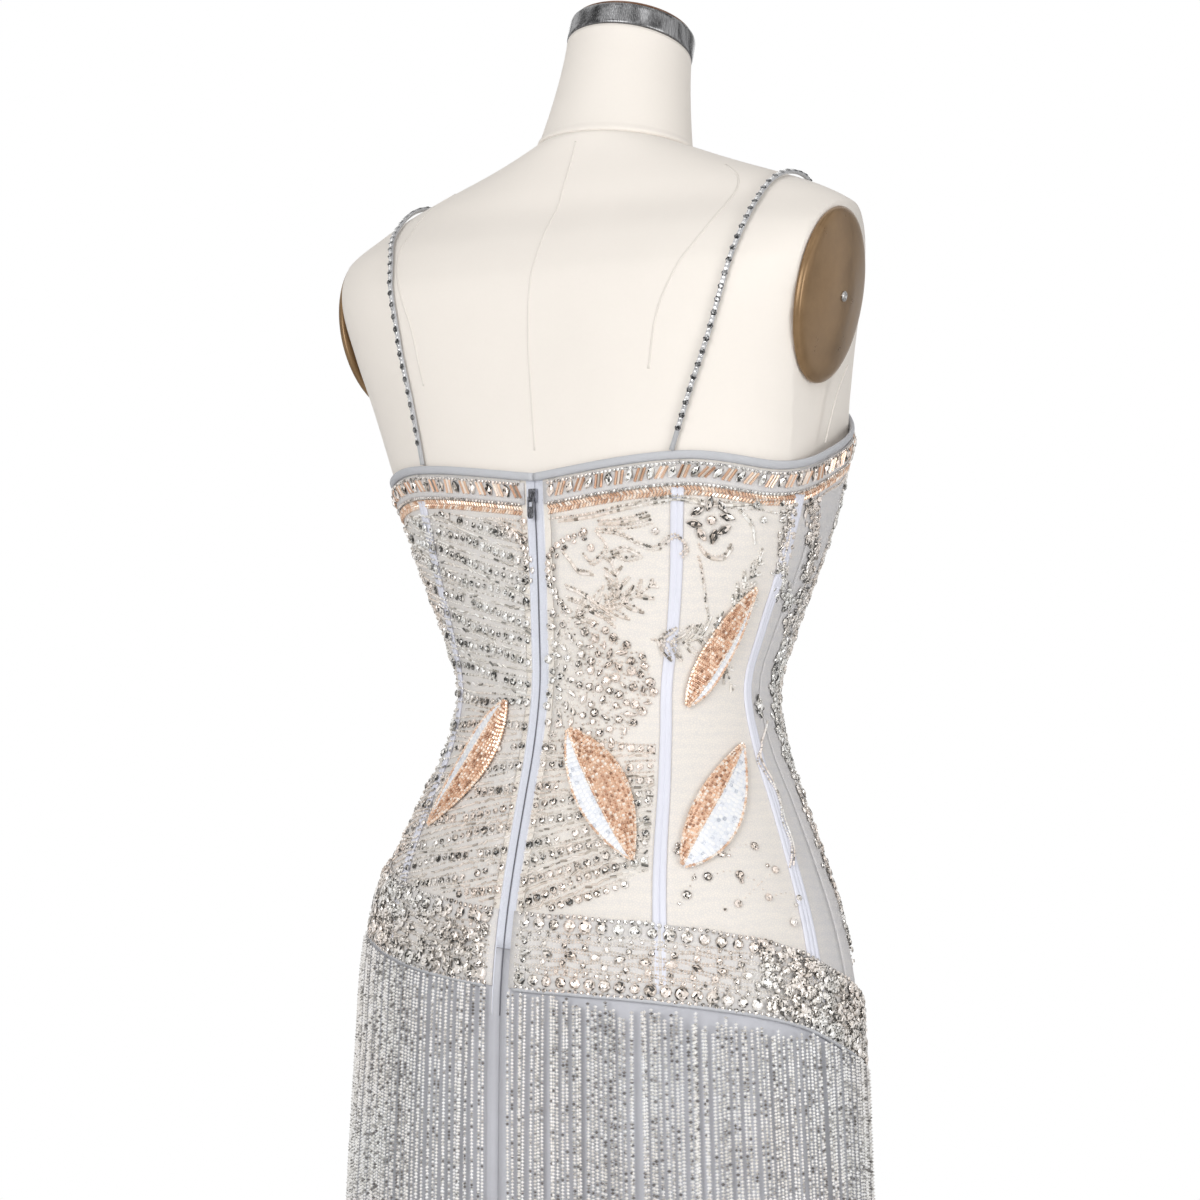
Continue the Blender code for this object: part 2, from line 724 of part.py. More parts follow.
def build_straps(torso, surfaces):
    """Two narrow tube straps that follow the form over the shoulders."""
    tree = BVHTree.FromPolygons(
        [vert.co.copy() for vert in torso.data.vertices],
        [tuple(face.vertices) for face in torso.data.polygons],
    )
    clear = STRAP_RADIUS + STRAP_CLEARANCE
    for side, word in ((1.0, "left"), (-1.0, "right")):
        centres = []
        for point in curve_through(STRAP_PATHS[word], 3):
            placed = Vector((side * point.x, point.y, point.z))
            for _ in range(4):
                near, normal, _, distance = tree.find_nearest(placed)
                outward = (placed - near)
                outward = outward.normalized() if outward.dot(normal) > 0 else normal
                placed = near + outward * clear
            centres.append(placed)
        mesh_data = bmesh.new()
        rings = []
        for index, centre in enumerate(centres):
            before = centres[max(index - 1, 0)]
            after = centres[min(index + 1, len(centres) - 1)]
            along = (after - before).normalized()
            across = along.cross(Vector((side, 0.0, 0.0))).normalized()
            third = along.cross(across)
            rings.append([
                centre + STRAP_RADIUS * (
                    math.cos(2.0 * math.pi * step / STRAP_SIDES) * across
                    + math.sin(2.0 * math.pi * step / STRAP_SIDES) * third
                )
                for step in range(STRAP_SIDES)
            ])
        stacked_solid(mesh_data, rings)
        finish_piece("strap_" + word, mesh_data, surfaces["strap"], smooth_angle=70.0)


Leaf = namedtuple("Leaf", "name start_column start_z end_column end_z bend half_width")

LEAVES = (
    Leaf("leaf_copper_right", 1.05, 1.010, 3.30, 0.922, 0.35, 0.017),
    Leaf("leaf_white_right", 4.60, 0.918, 7.40, 1.000, -0.40, 0.019),
    Leaf("leaf_copper_side", 4.75, 1.025, 7.20, 1.105, 0.30, 0.015),
    Leaf("leaf_copper_left", 38.9, 1.030, 36.6, 0.945, 0.35, 0.015),
)


def build_leaves(surfaces):
    """Large beaded leaves laid on the bodice."""
    for leaf in LEAVES:
        rows_out = []
        rows_in = []
        parts = 8
        middle_z = 0.5 * (leaf.start_z + leaf.end_z)
        column_width = (ring_point(BODY, 2, middle_z, 0.0) - ring_point(BODY, 3, middle_z, 0.0)).length
        run = (leaf.end_column - leaf.start_column) * column_width
        rise = leaf.end_z - leaf.start_z
        length = math.hypot(run, rise)
        for part in range(parts + 1):
            share = part / parts
            width = leaf.half_width * max(math.sin(math.pi * share) ** 0.75, 0.09) * (1.15 - 0.3 * share)
            bend = leaf.bend * math.sin(math.pi * share) * 0.35
            centre_column = leaf.start_column + (leaf.end_column - leaf.start_column) * share + bend
            centre_z = leaf.start_z + rise * share
            out_row = []
            in_row = []
            for step in (-1.0, -0.5, 0.0, 0.5, 1.0):
                column = centre_column - step * width * rise / length / column_width
                z = centre_z + step * width * run / length
                raised = 0.0012 * (1.0 - abs(step))
                out_row.append(bodice_point(column, z, TRIM_INNER + 0.0016 + raised))
                in_row.append(bodice_point(column, z, TRIM_INNER))
            rows_out.append(out_row)
            rows_in.append(in_row)
        surface = surfaces["copper"] if "copper" in leaf.name else surfaces["beads"]
        wall(leaf.name, rows_out, rows_in, surface, smooth_angle=30.0)


SLIDER_DROP = 0.010
SLIDER_HALF = Vector((0.0028, 0.0015, 0.0045))
BAIL_HALF_WIDTH = 0.0008
BAIL_REACH = 0.0035
BAIL_POST = 0.0010
BAIL_GAP = 0.0022
PULL_BAR_DROP = 0.0016
PULL_BAR = 0.0010
PULL_HALF_WIDTH = 0.0025
PULL_WINDOW_HALF = 0.0014
PULL_WINDOW_END = 0.0062
PULL_LENGTH = 0.0145


def build_zip(surfaces):
    """Zip slider with a bail, and the pull tab that swings on it."""
    height = top_edge(0) - SLIDER_DROP
    levels = [height + offset for offset in (-SLIDER_HALF.z, 0.0, SLIDER_HALF.z)]
    seat = max(ring_point(BODY, 0, z, TRIM_INNER).y for z in levels)
    face = seat + 2.0 * SLIDER_HALF.y
    mesh_data = bmesh.new()
    low_z = height - SLIDER_HALF.z
    high_z = height + SLIDER_HALF.z
    box_into(mesh_data, (-SLIDER_HALF.x, seat, low_z), (SLIDER_HALF.x, face, high_z))
    slider = finish_piece("zip_slider", mesh_data, surfaces["zip_metal"], smooth=False)

    mesh_data = bmesh.new()
    inside = BAIL_REACH - BAIL_POST
    sunk = face - 0.0004
    crown = face + BAIL_GAP + BAIL_POST
    ring = (
        (sunk, height - BAIL_REACH), (crown, height - BAIL_REACH), (crown, height + BAIL_REACH),
        (sunk, height + BAIL_REACH), (sunk, height + inside), (face + BAIL_GAP, height + inside),
        (face + BAIL_GAP, height - inside), (sunk, height - inside),
    )
    near = [mesh_data.verts.new((-BAIL_HALF_WIDTH, y, z)) for y, z in ring]
    far = [mesh_data.verts.new((BAIL_HALF_WIDTH, y, z)) for y, z in ring]
    mesh_data.faces.new(near)
    mesh_data.faces.new(far[::-1])
    for index in range(len(ring)):
        after = (index + 1) % len(ring)
        mesh_data.faces.new((near[index], near[after], far[after], far[index]))
    bail = finish_piece("bail_cutter", mesh_data, surfaces["zip_metal"], smooth=False)
    joined = slider.modifiers.new("bail", "BOOLEAN")
    joined.operation = "UNION"
    joined.solver = "EXACT"
    joined.object = bail
    bail.hide_render = True
    bail.display_type = "WIRE"

    axis_y = face + 0.5 * BAIL_GAP
    axis_z = height - PULL_BAR_DROP
    half_bar = 0.5 * PULL_BAR
    outer_loop = (
        (-PULL_HALF_WIDTH, half_bar), (PULL_HALF_WIDTH, half_bar),
        (PULL_HALF_WIDTH, -PULL_LENGTH + 0.0018), (0.0013, -PULL_LENGTH),
        (-0.0013, -PULL_LENGTH), (-PULL_HALF_WIDTH, -PULL_LENGTH + 0.0018),
    )
    window = (
        (-PULL_WINDOW_HALF, -half_bar), (PULL_WINDOW_HALF, -half_bar),
        (PULL_WINDOW_HALF, -PULL_WINDOW_END), (-PULL_WINDOW_HALF, -PULL_WINDOW_END),
    )
    mesh_data = bmesh.new()
    layers = []
    for y in (-half_bar, half_bar):
        rim = [mesh_data.verts.new((x, y, z)) for x, z in outer_loop]
        hole = [mesh_data.verts.new((x, y, z)) for x, z in window]
        mesh_data.faces.new((rim[0], rim[1], hole[1], hole[0]))
        mesh_data.faces.new((rim[1], rim[2], hole[2], hole[1]))
        mesh_data.faces.new((rim[5], rim[0], hole[0], hole[3]))
        mesh_data.faces.new((rim[2], rim[3], rim[4], rim[5], hole[3], hole[2]))
        layers.append((rim, hole))
    for loop in (0, 1):
        back = layers[0][loop]
        front = layers[1][loop]
        for index in range(len(back)):
            after = (index + 1) % len(back)
            mesh_data.faces.new((back[index], back[after], front[after], front[index]))
    pull = finish_piece("zip_pull", mesh_data, surfaces["zip_metal"], smooth=False)
    pull.location = (0.0, axis_y, axis_z)


def main():
    for item in list(bpy.data.objects):
        bpy.data.objects.remove(item, do_unlink=True)
    surfaces = {
        "form_cloth": material("ivory_form_cloth", (0.87, 0.80, 0.72), 0.85),
        "cap_steel": material("dark_brushed_steel", (0.09, 0.09, 0.10), 0.32, 1.0),
        "cap_brown": material("brown_enamel", (0.24, 0.12, 0.05), 0.35),
        "plate_brown": material("brown_satin_plate", (0.26, 0.14, 0.065), 0.42, 0.3),
        "screw_steel": material("screw_steel", (0.45, 0.44, 0.43), 0.3, 1.0),
        "stand_steel": material("stand_steel", (0.30, 0.30, 0.31), 0.35, 0.9),
        "net": material("lavender_net", (0.66, 0.65, 0.72), 0.6),
        "tape": material("lavender_tape", (0.62, 0.62, 0.70), 0.65),
        "satin": material("pale_satin", (0.72, 0.70, 0.76), 0.35),
        "binding": material("grey_binding", (0.52, 0.53, 0.60), 0.6),
        "beads": material("silver_beads", (0.74, 0.73, 0.72), 0.25, 0.5),
        "copper": material("copper_beads", (0.60, 0.33, 0.20), 0.3, 0.8),
        "lining": material("lavender_underskirt", (0.58, 0.58, 0.66), 0.55),
        "strap": material("grey_mesh_strap", (0.60, 0.60, 0.63), 0.5, 0.3),
        "zip_metal": material("zip_metal", (0.70, 0.70, 0.73), 0.3, 1.0),
    }
    torso = build_form(surfaces)
    build_bodice(surfaces)
    build_trims(surfaces)
    build_skirt(surfaces)
    build_straps(torso, surfaces)
    build_leaves(surfaces)
    build_zip(surfaces)


main()
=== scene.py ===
"""Mermaid evening gown on a limbless dress form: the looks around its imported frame.

Metres, +Z up. The gown's front faces -Y and the wearer's left is +X.
Columns run round the body from the centre back: ten to the wearer's right
side, twenty to the centre front, and on by the left side to the back.
"""

import math
from collections import namedtuple

import bmesh
import bpy
import numpy as np
from mathutils import Matrix, Vector
from mathutils.bvhtree import BVHTree


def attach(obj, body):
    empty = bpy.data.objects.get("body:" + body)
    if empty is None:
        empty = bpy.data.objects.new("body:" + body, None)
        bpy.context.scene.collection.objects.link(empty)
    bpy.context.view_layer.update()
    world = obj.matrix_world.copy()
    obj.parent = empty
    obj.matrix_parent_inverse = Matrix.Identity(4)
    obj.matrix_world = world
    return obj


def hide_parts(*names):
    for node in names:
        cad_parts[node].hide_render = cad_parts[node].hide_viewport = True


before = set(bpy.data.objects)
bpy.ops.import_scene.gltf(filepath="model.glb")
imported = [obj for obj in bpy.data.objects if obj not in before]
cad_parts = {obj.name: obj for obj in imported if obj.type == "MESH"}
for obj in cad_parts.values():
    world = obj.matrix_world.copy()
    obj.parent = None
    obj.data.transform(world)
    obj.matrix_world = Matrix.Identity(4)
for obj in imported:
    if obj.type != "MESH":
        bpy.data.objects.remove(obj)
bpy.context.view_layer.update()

bl_info = {
    "name": "Beaded Mermaid Gown",
    "version": (1, 0, 0),
    "blender": (4, 5, 0),
    "location": "3D View > Sidebar > Gown",
    "description": "Builds a beaded mermaid evening gown on a dress form",
    "category": "Object",
}

GOWN_BODY = "gown_and_form"

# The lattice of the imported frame
COLUMNS = 40
COLUMN_TURN = 2.0 * math.pi / COLUMNS
METRES_PER_COLUMN = 0.0215
WAIST_HEIGHT = 1.04
WAIST_SPREAD = math.radians(10.0)
WAIST_SPREAD_REACH = 0.09
FLUTE_COUNT = 8
FLUTE_DEPTH = 0.026
FLUTE_START = 0.46
NECK_RISE_START = 1.33
NECK_RISE = 0.16
FORM_UNDERSIDE = 0.70
FORM_TOP = 1.42

# Layers, by distance out from the form's skin
CLOTH_THICKNESS = 0.0012
CLOTH_OUTER = 0.0021
TRIM_INNER = 0.0027
TRIM_THICKNESS = 0.0016
TRIM_OUTER = TRIM_INNER + TRIM_THICKNESS

# Gown edges
ZIP_HALF_COLUMNS = 0.45
SEAM_COLUMNS = 0.009
BAND_HEIGHT = 0.051
NECK_BAND_HEIGHT = 0.015
NECK_BAND_DROP = 0.002
HEM_HEIGHT = 0.014
FRINGE_END = 0.035
FINE_BEAD = 0.00227
STRAND_RADIUS = 0.00155

# Dress form
ARM_CENTRE = Vector((0.1805, 0.0224, 1.3037))
ARM_YAW = math.radians(5.3)
ARM_TILT = math.radians(9.9)
ARM_ROLL = math.radians(-7.0)
ARM_PLATE_HALF_DEPTH = 0.0513
ARM_PLATE_HALF_HEIGHT = 0.061
NECK_TOP_CENTRE = Vector((0.0, -0.0167, 1.4952))
NECK_TOP_TILT = math.radians(17.8)
NECK_TOP_RADIUS = 0.0450
SEAM_RADIUS = 0.0008

# Height, half width, back depth, front depth, back roundness, front roundness
BODY = np.array((
    (0.680, 0.1895, 0.147, 0.079, 2.2, 2.0),
    (0.740, 0.187, 0.147, 0.079, 2.15, 2.0),
    (0.800, 0.184, 0.146, 0.081, 2.1, 2.05),
    (0.840, 0.180, 0.144, 0.082, 2.15, 2.1),
    (0.880, 0.1705, 0.138, 0.084, 2.3, 2.1),
    (0.920, 0.156, 0.128, 0.086, 2.4, 2.1),
    (0.960, 0.1395, 0.116, 0.089, 2.25, 2.1),
    (1.000, 0.122, 0.104, 0.094, 2.1, 2.1),
    (1.040, 0.1135, 0.097, 0.103, 2.1, 2.1),
    (1.080, 0.127, 0.098, 0.107, 2.1, 2.1),
    (1.120, 0.1445, 0.100, 0.112, 2.2, 2.1),
    (1.160, 0.158, 0.103, 0.118, 2.4, 2.2),
    (1.200, 0.1683, 0.106, 0.120, 2.65, 2.2),
    (1.240, 0.1780, 0.111, 0.110, 2.95, 2.0),
    (1.280, 0.1915, 0.1145, 0.0955, 3.15, 1.85),
    (1.320, 0.206, 0.111, 0.078, 3.2, 1.9),
    (1.345, 0.212, 0.0966, 0.0652, 2.8, 1.9),
    (1.366, 0.195, 0.078, 0.054, 2.3, 2.0),
    (1.383, 0.165, 0.069, 0.046, 2.05, 1.95),
    (1.404, 0.103, 0.058, 0.043, 2.0, 2.0),
    (1.420, 0.058, 0.052, 0.042, 2.0, 2.0),
))
SKIRT = np.vstack(((
    (0.012, 0.320, 0.330, 0.262, 2.0, 2.0),
    (0.100, 0.284, 0.276, 0.224, 2.0, 2.0),
    (0.200, 0.240, 0.218, 0.178, 2.0, 2.0),
    (0.300, 0.203, 0.168, 0.136, 2.0, 2.0),
    (0.380, 0.184, 0.142, 0.110, 2.1, 2.1),
    (0.460, 0.177, 0.132, 0.096, 2.1, 2.1),
    (0.540, 0.180, 0.135, 0.087, 2.1, 2.1),
    (0.620, 0.186, 0.142, 0.082, 2.15, 2.05),
), BODY))
HANG = np.vstack(((
    (0.012, 0.326, 0.337, 0.268, 2.0, 2.0),
    (0.100, 0.291, 0.284, 0.231, 2.0, 2.0),
    (0.200, 0.249, 0.228, 0.188, 2.0, 2.0),
    (0.300, 0.216, 0.182, 0.148, 2.0, 2.0),
    (0.380, 0.200, 0.158, 0.122, 2.1, 2.1),
    (0.460, 0.195, 0.149, 0.106, 2.1, 2.1),
    (0.540, 0.1925, 0.148, 0.093, 2.1, 2.1),
    (0.620, 0.1910, 0.148, 0.085, 2.15, 2.05),
), BODY))

# Edge heights by column
TOP_EDGE = ((0, 1.179), (4, 1.190), (7, 1.184), (9, 1.190), (12, 1.212), (16, 1.245), (20, 1.226))
BAND_TOP = (
    (0, 0.888), (4, 0.880), (7.5, 0.865), (10, 0.842), (13, 0.824), (17, 0.828),
    (20, 0.850), (25, 0.895), (30, 0.926), (34, 0.918), (37.5, 0.898), (40, 0.888),
)

# How far a bead row climbs by the side of the body, by its height at the zip
ROW_CLIMB_LEFT = (
    (0.86, -0.030), (0.95, -0.024), (0.985, -0.015), (1.003, 0.0), (1.022, 0.012),
    (1.045, 0.036), (1.07, 0.045), (1.11, 0.054), (1.19, 0.055),
)
ROW_CLIMB_RIGHT = (
    (0.88, 0.065), (0.902, 0.055), (0.928, 0.036), (0.945, 0.030), (0.976, 0.002), (1.01, -0.005),
)

Places = namedtuple("Places", "points across along outward sizes tones")


def smooth_curve(knots, positions):
    """Smooth curve through (position, value) knots, read at many positions."""
    places, values = np.asarray(knots, float).T
    positions = np.clip(positions, places[0], places[-1])
    order = np.arange(len(places))
    before = np.maximum(order - 1, 0)
    after = np.minimum(order + 1, len(places) - 1)
    slopes = (values[after] - values[before]) / (places[after] - places[before])
    low = np.clip(np.searchsorted(places, positions, side="right") - 1, 0, len(places) - 2)
    span = places[low + 1] - places[low]
    share = (positions - places[low]) / span
    square = share ** 2
    cube = share ** 3
    return (
        (2 * cube - 3 * square + 1) * values[low]
        + (cube - 2 * square + share) * span * slopes[low]
        + (3 * square - 2 * cube) * values[low + 1]
        + (cube - square) * span * slopes[low + 1]
    )


def surface(table, columns, heights, out):
    """Points on the body or skirt at columns and heights, moved out along the level normal."""
    columns, heights, out = (np.asarray(item, float) for item in np.broadcast_arrays(columns, heights, out))
    half, back, front, back_power, front_power = (
        smooth_curve(table[:, (0, place)], heights) for place in range(1, 6)
    )
    turn = columns * COLUMN_TURN
    nearness = np.exp(-(((heights - WAIST_HEIGHT) / WAIST_SPREAD_REACH) ** 2))
    angle = turn + WAIST_SPREAD * nearness * np.sin(2.0 * turn)
    across = -np.sin(angle)
    along = np.cos(angle)
    depth = np.where(along > 0, back, front)
    power = np.where(along > 0, back_power, front_power)
    size = (np.abs(across) ** power + np.abs(along) ** power) ** (-1.0 / power)
    normal_x = np.sign(across) * np.abs(across * size) ** (power - 1.0) / half
    normal_y = np.sign(along) * np.abs(along * size) ** (power - 1.0) / depth
    length = np.hypot(normal_x, normal_y)
    flutes = np.clip((FLUTE_START - heights) / FLUTE_START, 0.0, None) ** 1.6 * FLUTE_DEPTH
    moved = out + flutes * np.cos(FLUTE_COUNT * turn)
    x = half * across * size + normal_x / length * moved
    y = depth * along * size + normal_y / length * moved
    rise = NECK_RISE * np.clip((heights - NECK_RISE_START) / (FORM_TOP - NECK_RISE_START), 0.0, 1.0)
    return np.stack((x, y, heights + rise * y), axis=-1)


def unit(vectors):
    """Vectors made one unit long."""
    return vectors / np.maximum(np.linalg.norm(vectors, axis=-1, keepdims=True), 1e-12)


def frames_on(table, columns, heights, out):
    """Points on the gown with the directions across, up and out of it."""
    step = 0.02
    points = surface(table, columns, heights, out)
    across = unit(surface(table, columns + step, heights, out) - surface(table, columns - step, heights, out))
    climb = 0.001
    up = unit(surface(table, columns, heights + climb, out) - surface(table, columns, heights - climb, out))
    outward = unit(np.cross(across, up))
    return points, across, np.cross(outward, across), outward


def distance_along(points):
    """Distance of each point from the first, along the line through them."""
    return np.concatenate(((0.0,), np.cumsum(np.linalg.norm(np.diff(points, axis=0), axis=1))))


def top_edge(columns):
    """Height of the bodice's top edge."""
    folded = np.mod(columns, COLUMNS)
    folded = np.where(folded > COLUMNS / 2, COLUMNS - folded, folded)
    return smooth_curve(TOP_EDGE, folded)


def band_top(columns):
    """Height of the hip band's upper edge."""
    return smooth_curve(BAND_TOP, np.mod(columns, COLUMNS))


def bodice_bottom(columns):
    """Height of the seam under the hip band, where bodice and skirt meet."""
    return band_top(columns) - 0.5 * BAND_HEIGHT


# Meshes


def keep_mesh(name, mesh, finish, smooth):
    """Put a mesh in the scene as an object that sits at the origin."""
    mesh.polygons.foreach_set("use_smooth", [smooth] * len(mesh.polygons))
    mesh.materials.append(finish)
    piece = bpy.data.objects.new(name, mesh)
    bpy.context.scene.collection.objects.link(piece)
    return piece


def keep(name, shape, finish, smooth=True):
    """Put a bmesh in the scene."""
    mesh = bpy.data.meshes.new(name)
    shape.to_mesh(mesh)
    shape.free()
    return keep_mesh(name, mesh, finish_named(finish), smooth)


def settle(piece, slot, *nodes):
    """Let a piece ride with the gown and stand for CAD nodes, which it hides; its slot is not used."""
    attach(piece, GOWN_BODY)
    if nodes:
        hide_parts(*nodes)


def build(name, shape, finish, slot, *nodes):
    """Keep a bmesh as a piece of the gown."""
    settle(keep(name, shape, finish), slot, *nodes)


def laid_grid(points, tones=None):
    """A grid of faces laid through an array of points, rows by columns, with a tone for each point."""
    rows, columns = points.shape[:2]
    shape = bmesh.new()
    bmesh.ops.create_grid(shape, x_segments=columns - 1, y_segments=rows - 1, size=1.0)
    layer = shape.verts.layers.float.new("tone") if tones is not None else None
    for vert in shape.verts:
        column = round((vert.co.x + 1.0) * 0.5 * (columns - 1))
        row = round((vert.co.y + 1.0) * 0.5 * (rows - 1))
        vert.co = points[row, column]
        if layer is not None:
            vert[layer] = tones[row, column]
    return shape


def closed_grid(points):
    """A grid whose last column meets its first, with both ends filled."""
    shape = laid_grid(points)
    bmesh.ops.remove_doubles(shape, verts=shape.verts[:], dist=1e-6)
    bmesh.ops.holes_fill(shape, edges=shape.edges[:], sides=0)
    bmesh.ops.recalc_face_normals(shape, faces=shape.faces[:])
    return shape


def add_thickness(piece, thickness):
    """Give a sheet its thickness on the side of the body."""
    wall = piece.modifiers.new("thickness", "SOLIDIFY")
    wall.thickness = thickness
    wall.offset = -1.0
    return piece


def tube(points, outward, radius, sides=8, flatness=1.0):
    """A closed tube along points, pressed flat towards the body."""
    points = np.asarray(points, float)
    outward = unit(np.asarray(outward, float))
    along = unit(np.gradient(points, axis=0))
    across = unit(np.cross(along, outward))
    turn = np.linspace(0.0, 2.0 * math.pi, sides + 1)[None, :, None]
    ring = np.cos(turn) * across[:, None] + np.sin(turn) * outward[:, None] * flatness
    radius = np.broadcast_to(radius, len(points))[:, None, None]
    return closed_grid(points[:, None] + ring * radius)


def turned(profile, place, steps):
    """A profile of (radius, height) pairs, softened, spun round its axis and put in place."""
    shape = bmesh.new()
    verts = [shape.verts.new((radius, 0.0, height)) for radius, height in rounded(profile)]
    edges = [shape.edges.new(pair) for pair in zip(verts, verts[1:])]
    bmesh.ops.spin(
        shape, geom=verts + edges, cent=(0.0, 0.0, 0.0), axis=(0.0, 0.0, 1.0),
        angle=2.0 * math.pi, steps=steps, use_merge=True,
    )
    bmesh.ops.remove_doubles(shape, verts=shape.verts[:], dist=1e-6)
    bmesh.ops.recalc_face_normals(shape, faces=shape.faces[:])
    bmesh.ops.transform(shape, matrix=place, verts=shape.verts[:])
    return shape


def rounded(profile):
    """A profile with each inner corner cut back twice, so that it turns softly."""
    points = [Vector(point) for point in profile]
    for _ in range(2):
        softer = [points[0]]
        for low, high in zip(points, points[1:]):
            softer.append(low.lerp(high, 0.2))
            softer.append(low.lerp(high, 0.8))
        softer.append(points[-1])
        points = softer
    return [(point.x, point.y) for point in points]


# Small repeated shapes

Bead = namedtuple("Bead", "points corners starts")


def bead_from(shape):
    """The points and faces of a small shape, ready to be repeated."""
    shape.verts.index_update()
    points = np.array([vert.co for vert in shape.verts])
    corners = [loop.vert.index for face in shape.faces for loop in face.loops]
    sizes = [len(face.verts) for face in shape.faces]
    starts = np.concatenate(((0,), np.cumsum(sizes)[:-1]))
    shape.free()
    return Bead(points, np.array(corners), starts)


def cut_stone(sides, table=0.42, height=0.62):
    """A cut stone standing on Z = 0: two rings of facets and a table in wedges."""
    shape = bmesh.new()
    rings = []
    for radius, level, turn in ((1.0, 0.15, 0.0), (0.76, 0.74, 0.5), (table, 1.0, 0.0)):
        ring = bmesh.ops.create_circle(shape, segments=sides, radius=radius)["verts"]
        for index, vert in enumerate(ring):
            angle = (index + turn) * 2.0 * math.pi / sides
            vert.co = (radius * math.cos(angle), radius * math.sin(angle), level * height)
        rings.append(ring)
    for low, high in zip(rings, rings[1:]):
        for index in range(sides):
            ahead = (index + 1) % sides
            shape.faces.new((low[index], low[ahead], high[index]))
            shape.faces.new((low[ahead], high[ahead], high[index]))
    top = shape.faces.new(rings[-1])
    bmesh.ops.poke(shape, faces=[top])
    return shape


def pinched(shape, ends):
    """The shape narrowed towards its ends along Y: (far end, near end)."""
    for vert in shape.verts:
        share = ends[0] * max(vert.co.y, 0.0) ** 2 + ends[1] * min(vert.co.y, 0.0) ** 2
        vert.co.x *= 1.0 - share
    return shape


def seed_bead(sides, rows):
    """A bead with its hole along Y."""
    shape = bmesh.new()
    bmesh.ops.create_uvsphere(
        shape, u_segments=sides, v_segments=rows, radius=1.0,
        matrix=Matrix.Rotation(math.radians(90.0), 4, "X"),
    )
    return shape


def rod(sides):
    """A bugle bead along Y."""
    shape = bmesh.new()
    bmesh.ops.create_cone(
        shape, cap_ends=True, segments=sides, radius1=1.0, radius2=1.0, depth=2.0,
        matrix=Matrix.Rotation(math.radians(90.0), 4, "X"),
    )
    return shape


BEADS = {
    "stone": bead_from(cut_stone(6)),
    "big_stone": bead_from(cut_stone(8)),
    "marquise": bead_from(pinched(cut_stone(6), (0.62, 0.62))),
    "pear": bead_from(pinched(cut_stone(6), (0.75, 0.05))),
    "seed": bead_from(seed_bead(4, 2)),
    "round_seed": bead_from(seed_bead(6, 3)),
    "bugle": bead_from(rod(4)),
    "sequin": bead_from(cut_stone(6, 0.5, 0.3)),
}


def merged(groups):
    """Several groups of places as one."""
    return Places(*(np.concatenate(items) for items in zip(*groups)))


def chosen(places, mask):
    """The places for which the mask is true."""
    return Places(*(item[mask] for item in places))


def between(rng, low, high):
    """A maker of random values between two limits, for places_along."""
    return lambda count: rng.uniform(low, high, count)


def resized(places, rng, low, high):
    """Places each made smaller or larger at random."""
    grown = rng.uniform(low, high, len(places.points))[:, None]
    return places._replace(sizes=places.sizes * grown)


def spun(places, angles):
    """Places turned about their outward direction."""
    angles = np.broadcast_to(angles, len(places.points))[:, None]
    across = np.cos(angles) * places.across + np.sin(angles) * places.along
    along = np.cos(angles) * places.along - np.sin(angles) * places.across
    return places._replace(across=across, along=along)


def places_at(table, columns, heights, out, size, tones):
    """Places on the gown by column and height, upright."""
    columns = np.atleast_1d(np.asarray(columns, float))
    points, across, up, outward = frames_on(table, columns, np.asarray(heights, float), out)
    sizes = np.broadcast_to(np.asarray(size, float), (len(points), 3))
    return Places(points, across, up, outward, sizes, np.broadcast_to(tones, len(points)))


def places_along(table, columns, heights, pitch, out, size, tones):
    """Evenly spaced places along a line drawn on the gown, turned to follow it."""
    columns = np.asarray(columns, float)
    heights = np.asarray(heights, float)
    points = surface(table, columns, heights, 0.0)
    run = distance_along(points)
    count = max(int(run[-1] / pitch), 2)
    at = (np.arange(count) + 0.5) * run[-1] / count
    found = np.interp(at, run, columns), np.interp(at, run, heights)
    points, _, _, outward = frames_on(table, *found, out(found[0]) if callable(out) else out)
    direction = np.gradient(points, axis=0)
    direction = direction - (direction * outward).sum(axis=1, keepdims=True) * outward
    along = unit(direction)
    tones = tones(count) if callable(tones) else np.broadcast_to(tones, count)
    sizes = np.broadcast_to(np.asarray(size, float), (count, 3))
    places = Places(points, np.cross(along, outward), along, outward, sizes, tones)
    return places, found


def drawn(points, count=60):
    """A smooth line through points, as one row of values for each of their coordinates."""
    order = np.arange(len(points))
    at = np.linspace(0.0, len(points) - 1.0, count)
    return np.stack([smooth_curve(list(zip(order, values)), at) for values in zip(*points)])


def shifted(line, sideways, upwards):
    """A line of (column, height) points moved over the gown."""
    return [(column + sideways, height + upwards) for column, height in line]


def repeated(name, bead, places, finish, facets, seed):
    """One mesh of a small shape at many places, each face with its own tone, strayed at random for painted
    glints.
    """
    shape = BEADS[bead]
    count = len(places.points)
    axes = np.stack((places.across, places.along, places.outward), axis=1)
    local = shape.points[None] * places.sizes[:, None]
    points = places.points[:, None] + local @ axes
    corners = shape.corners[None] + np.arange(count)[:, None] * len(shape.points)
    starts = shape.starts[None] + np.arange(count)[:, None] * len(shape.corners)
    mesh = bpy.data.meshes.new(name)
    mesh.vertices.add(count * len(shape.points))
    mesh.vertices.foreach_set("co", points.ravel())
    mesh.loops.add(corners.size)
    mesh.loops.foreach_set("vertex_index", corners.ravel())
    mesh.polygons.add(starts.size)
    mesh.polygons.foreach_set("loop_start", starts.ravel())
    mesh.update(calc_edges=True)
    rng = np.random.default_rng(seed)
    # Each face's tone strays at random from its bead's: painted glints on the facets
    tones = places.tones[:, None] + rng.normal(0.0, 1.0, starts.shape) * facets
    attribute = mesh.attributes.new("tone", "FLOAT", "FACE")
    attribute.data.foreach_set("value", np.clip(tones, 0.0, 1.0).astype(np.float32).ravel())
    return keep_mesh(name, mesh, finish_named(finish), False)


# Finishes


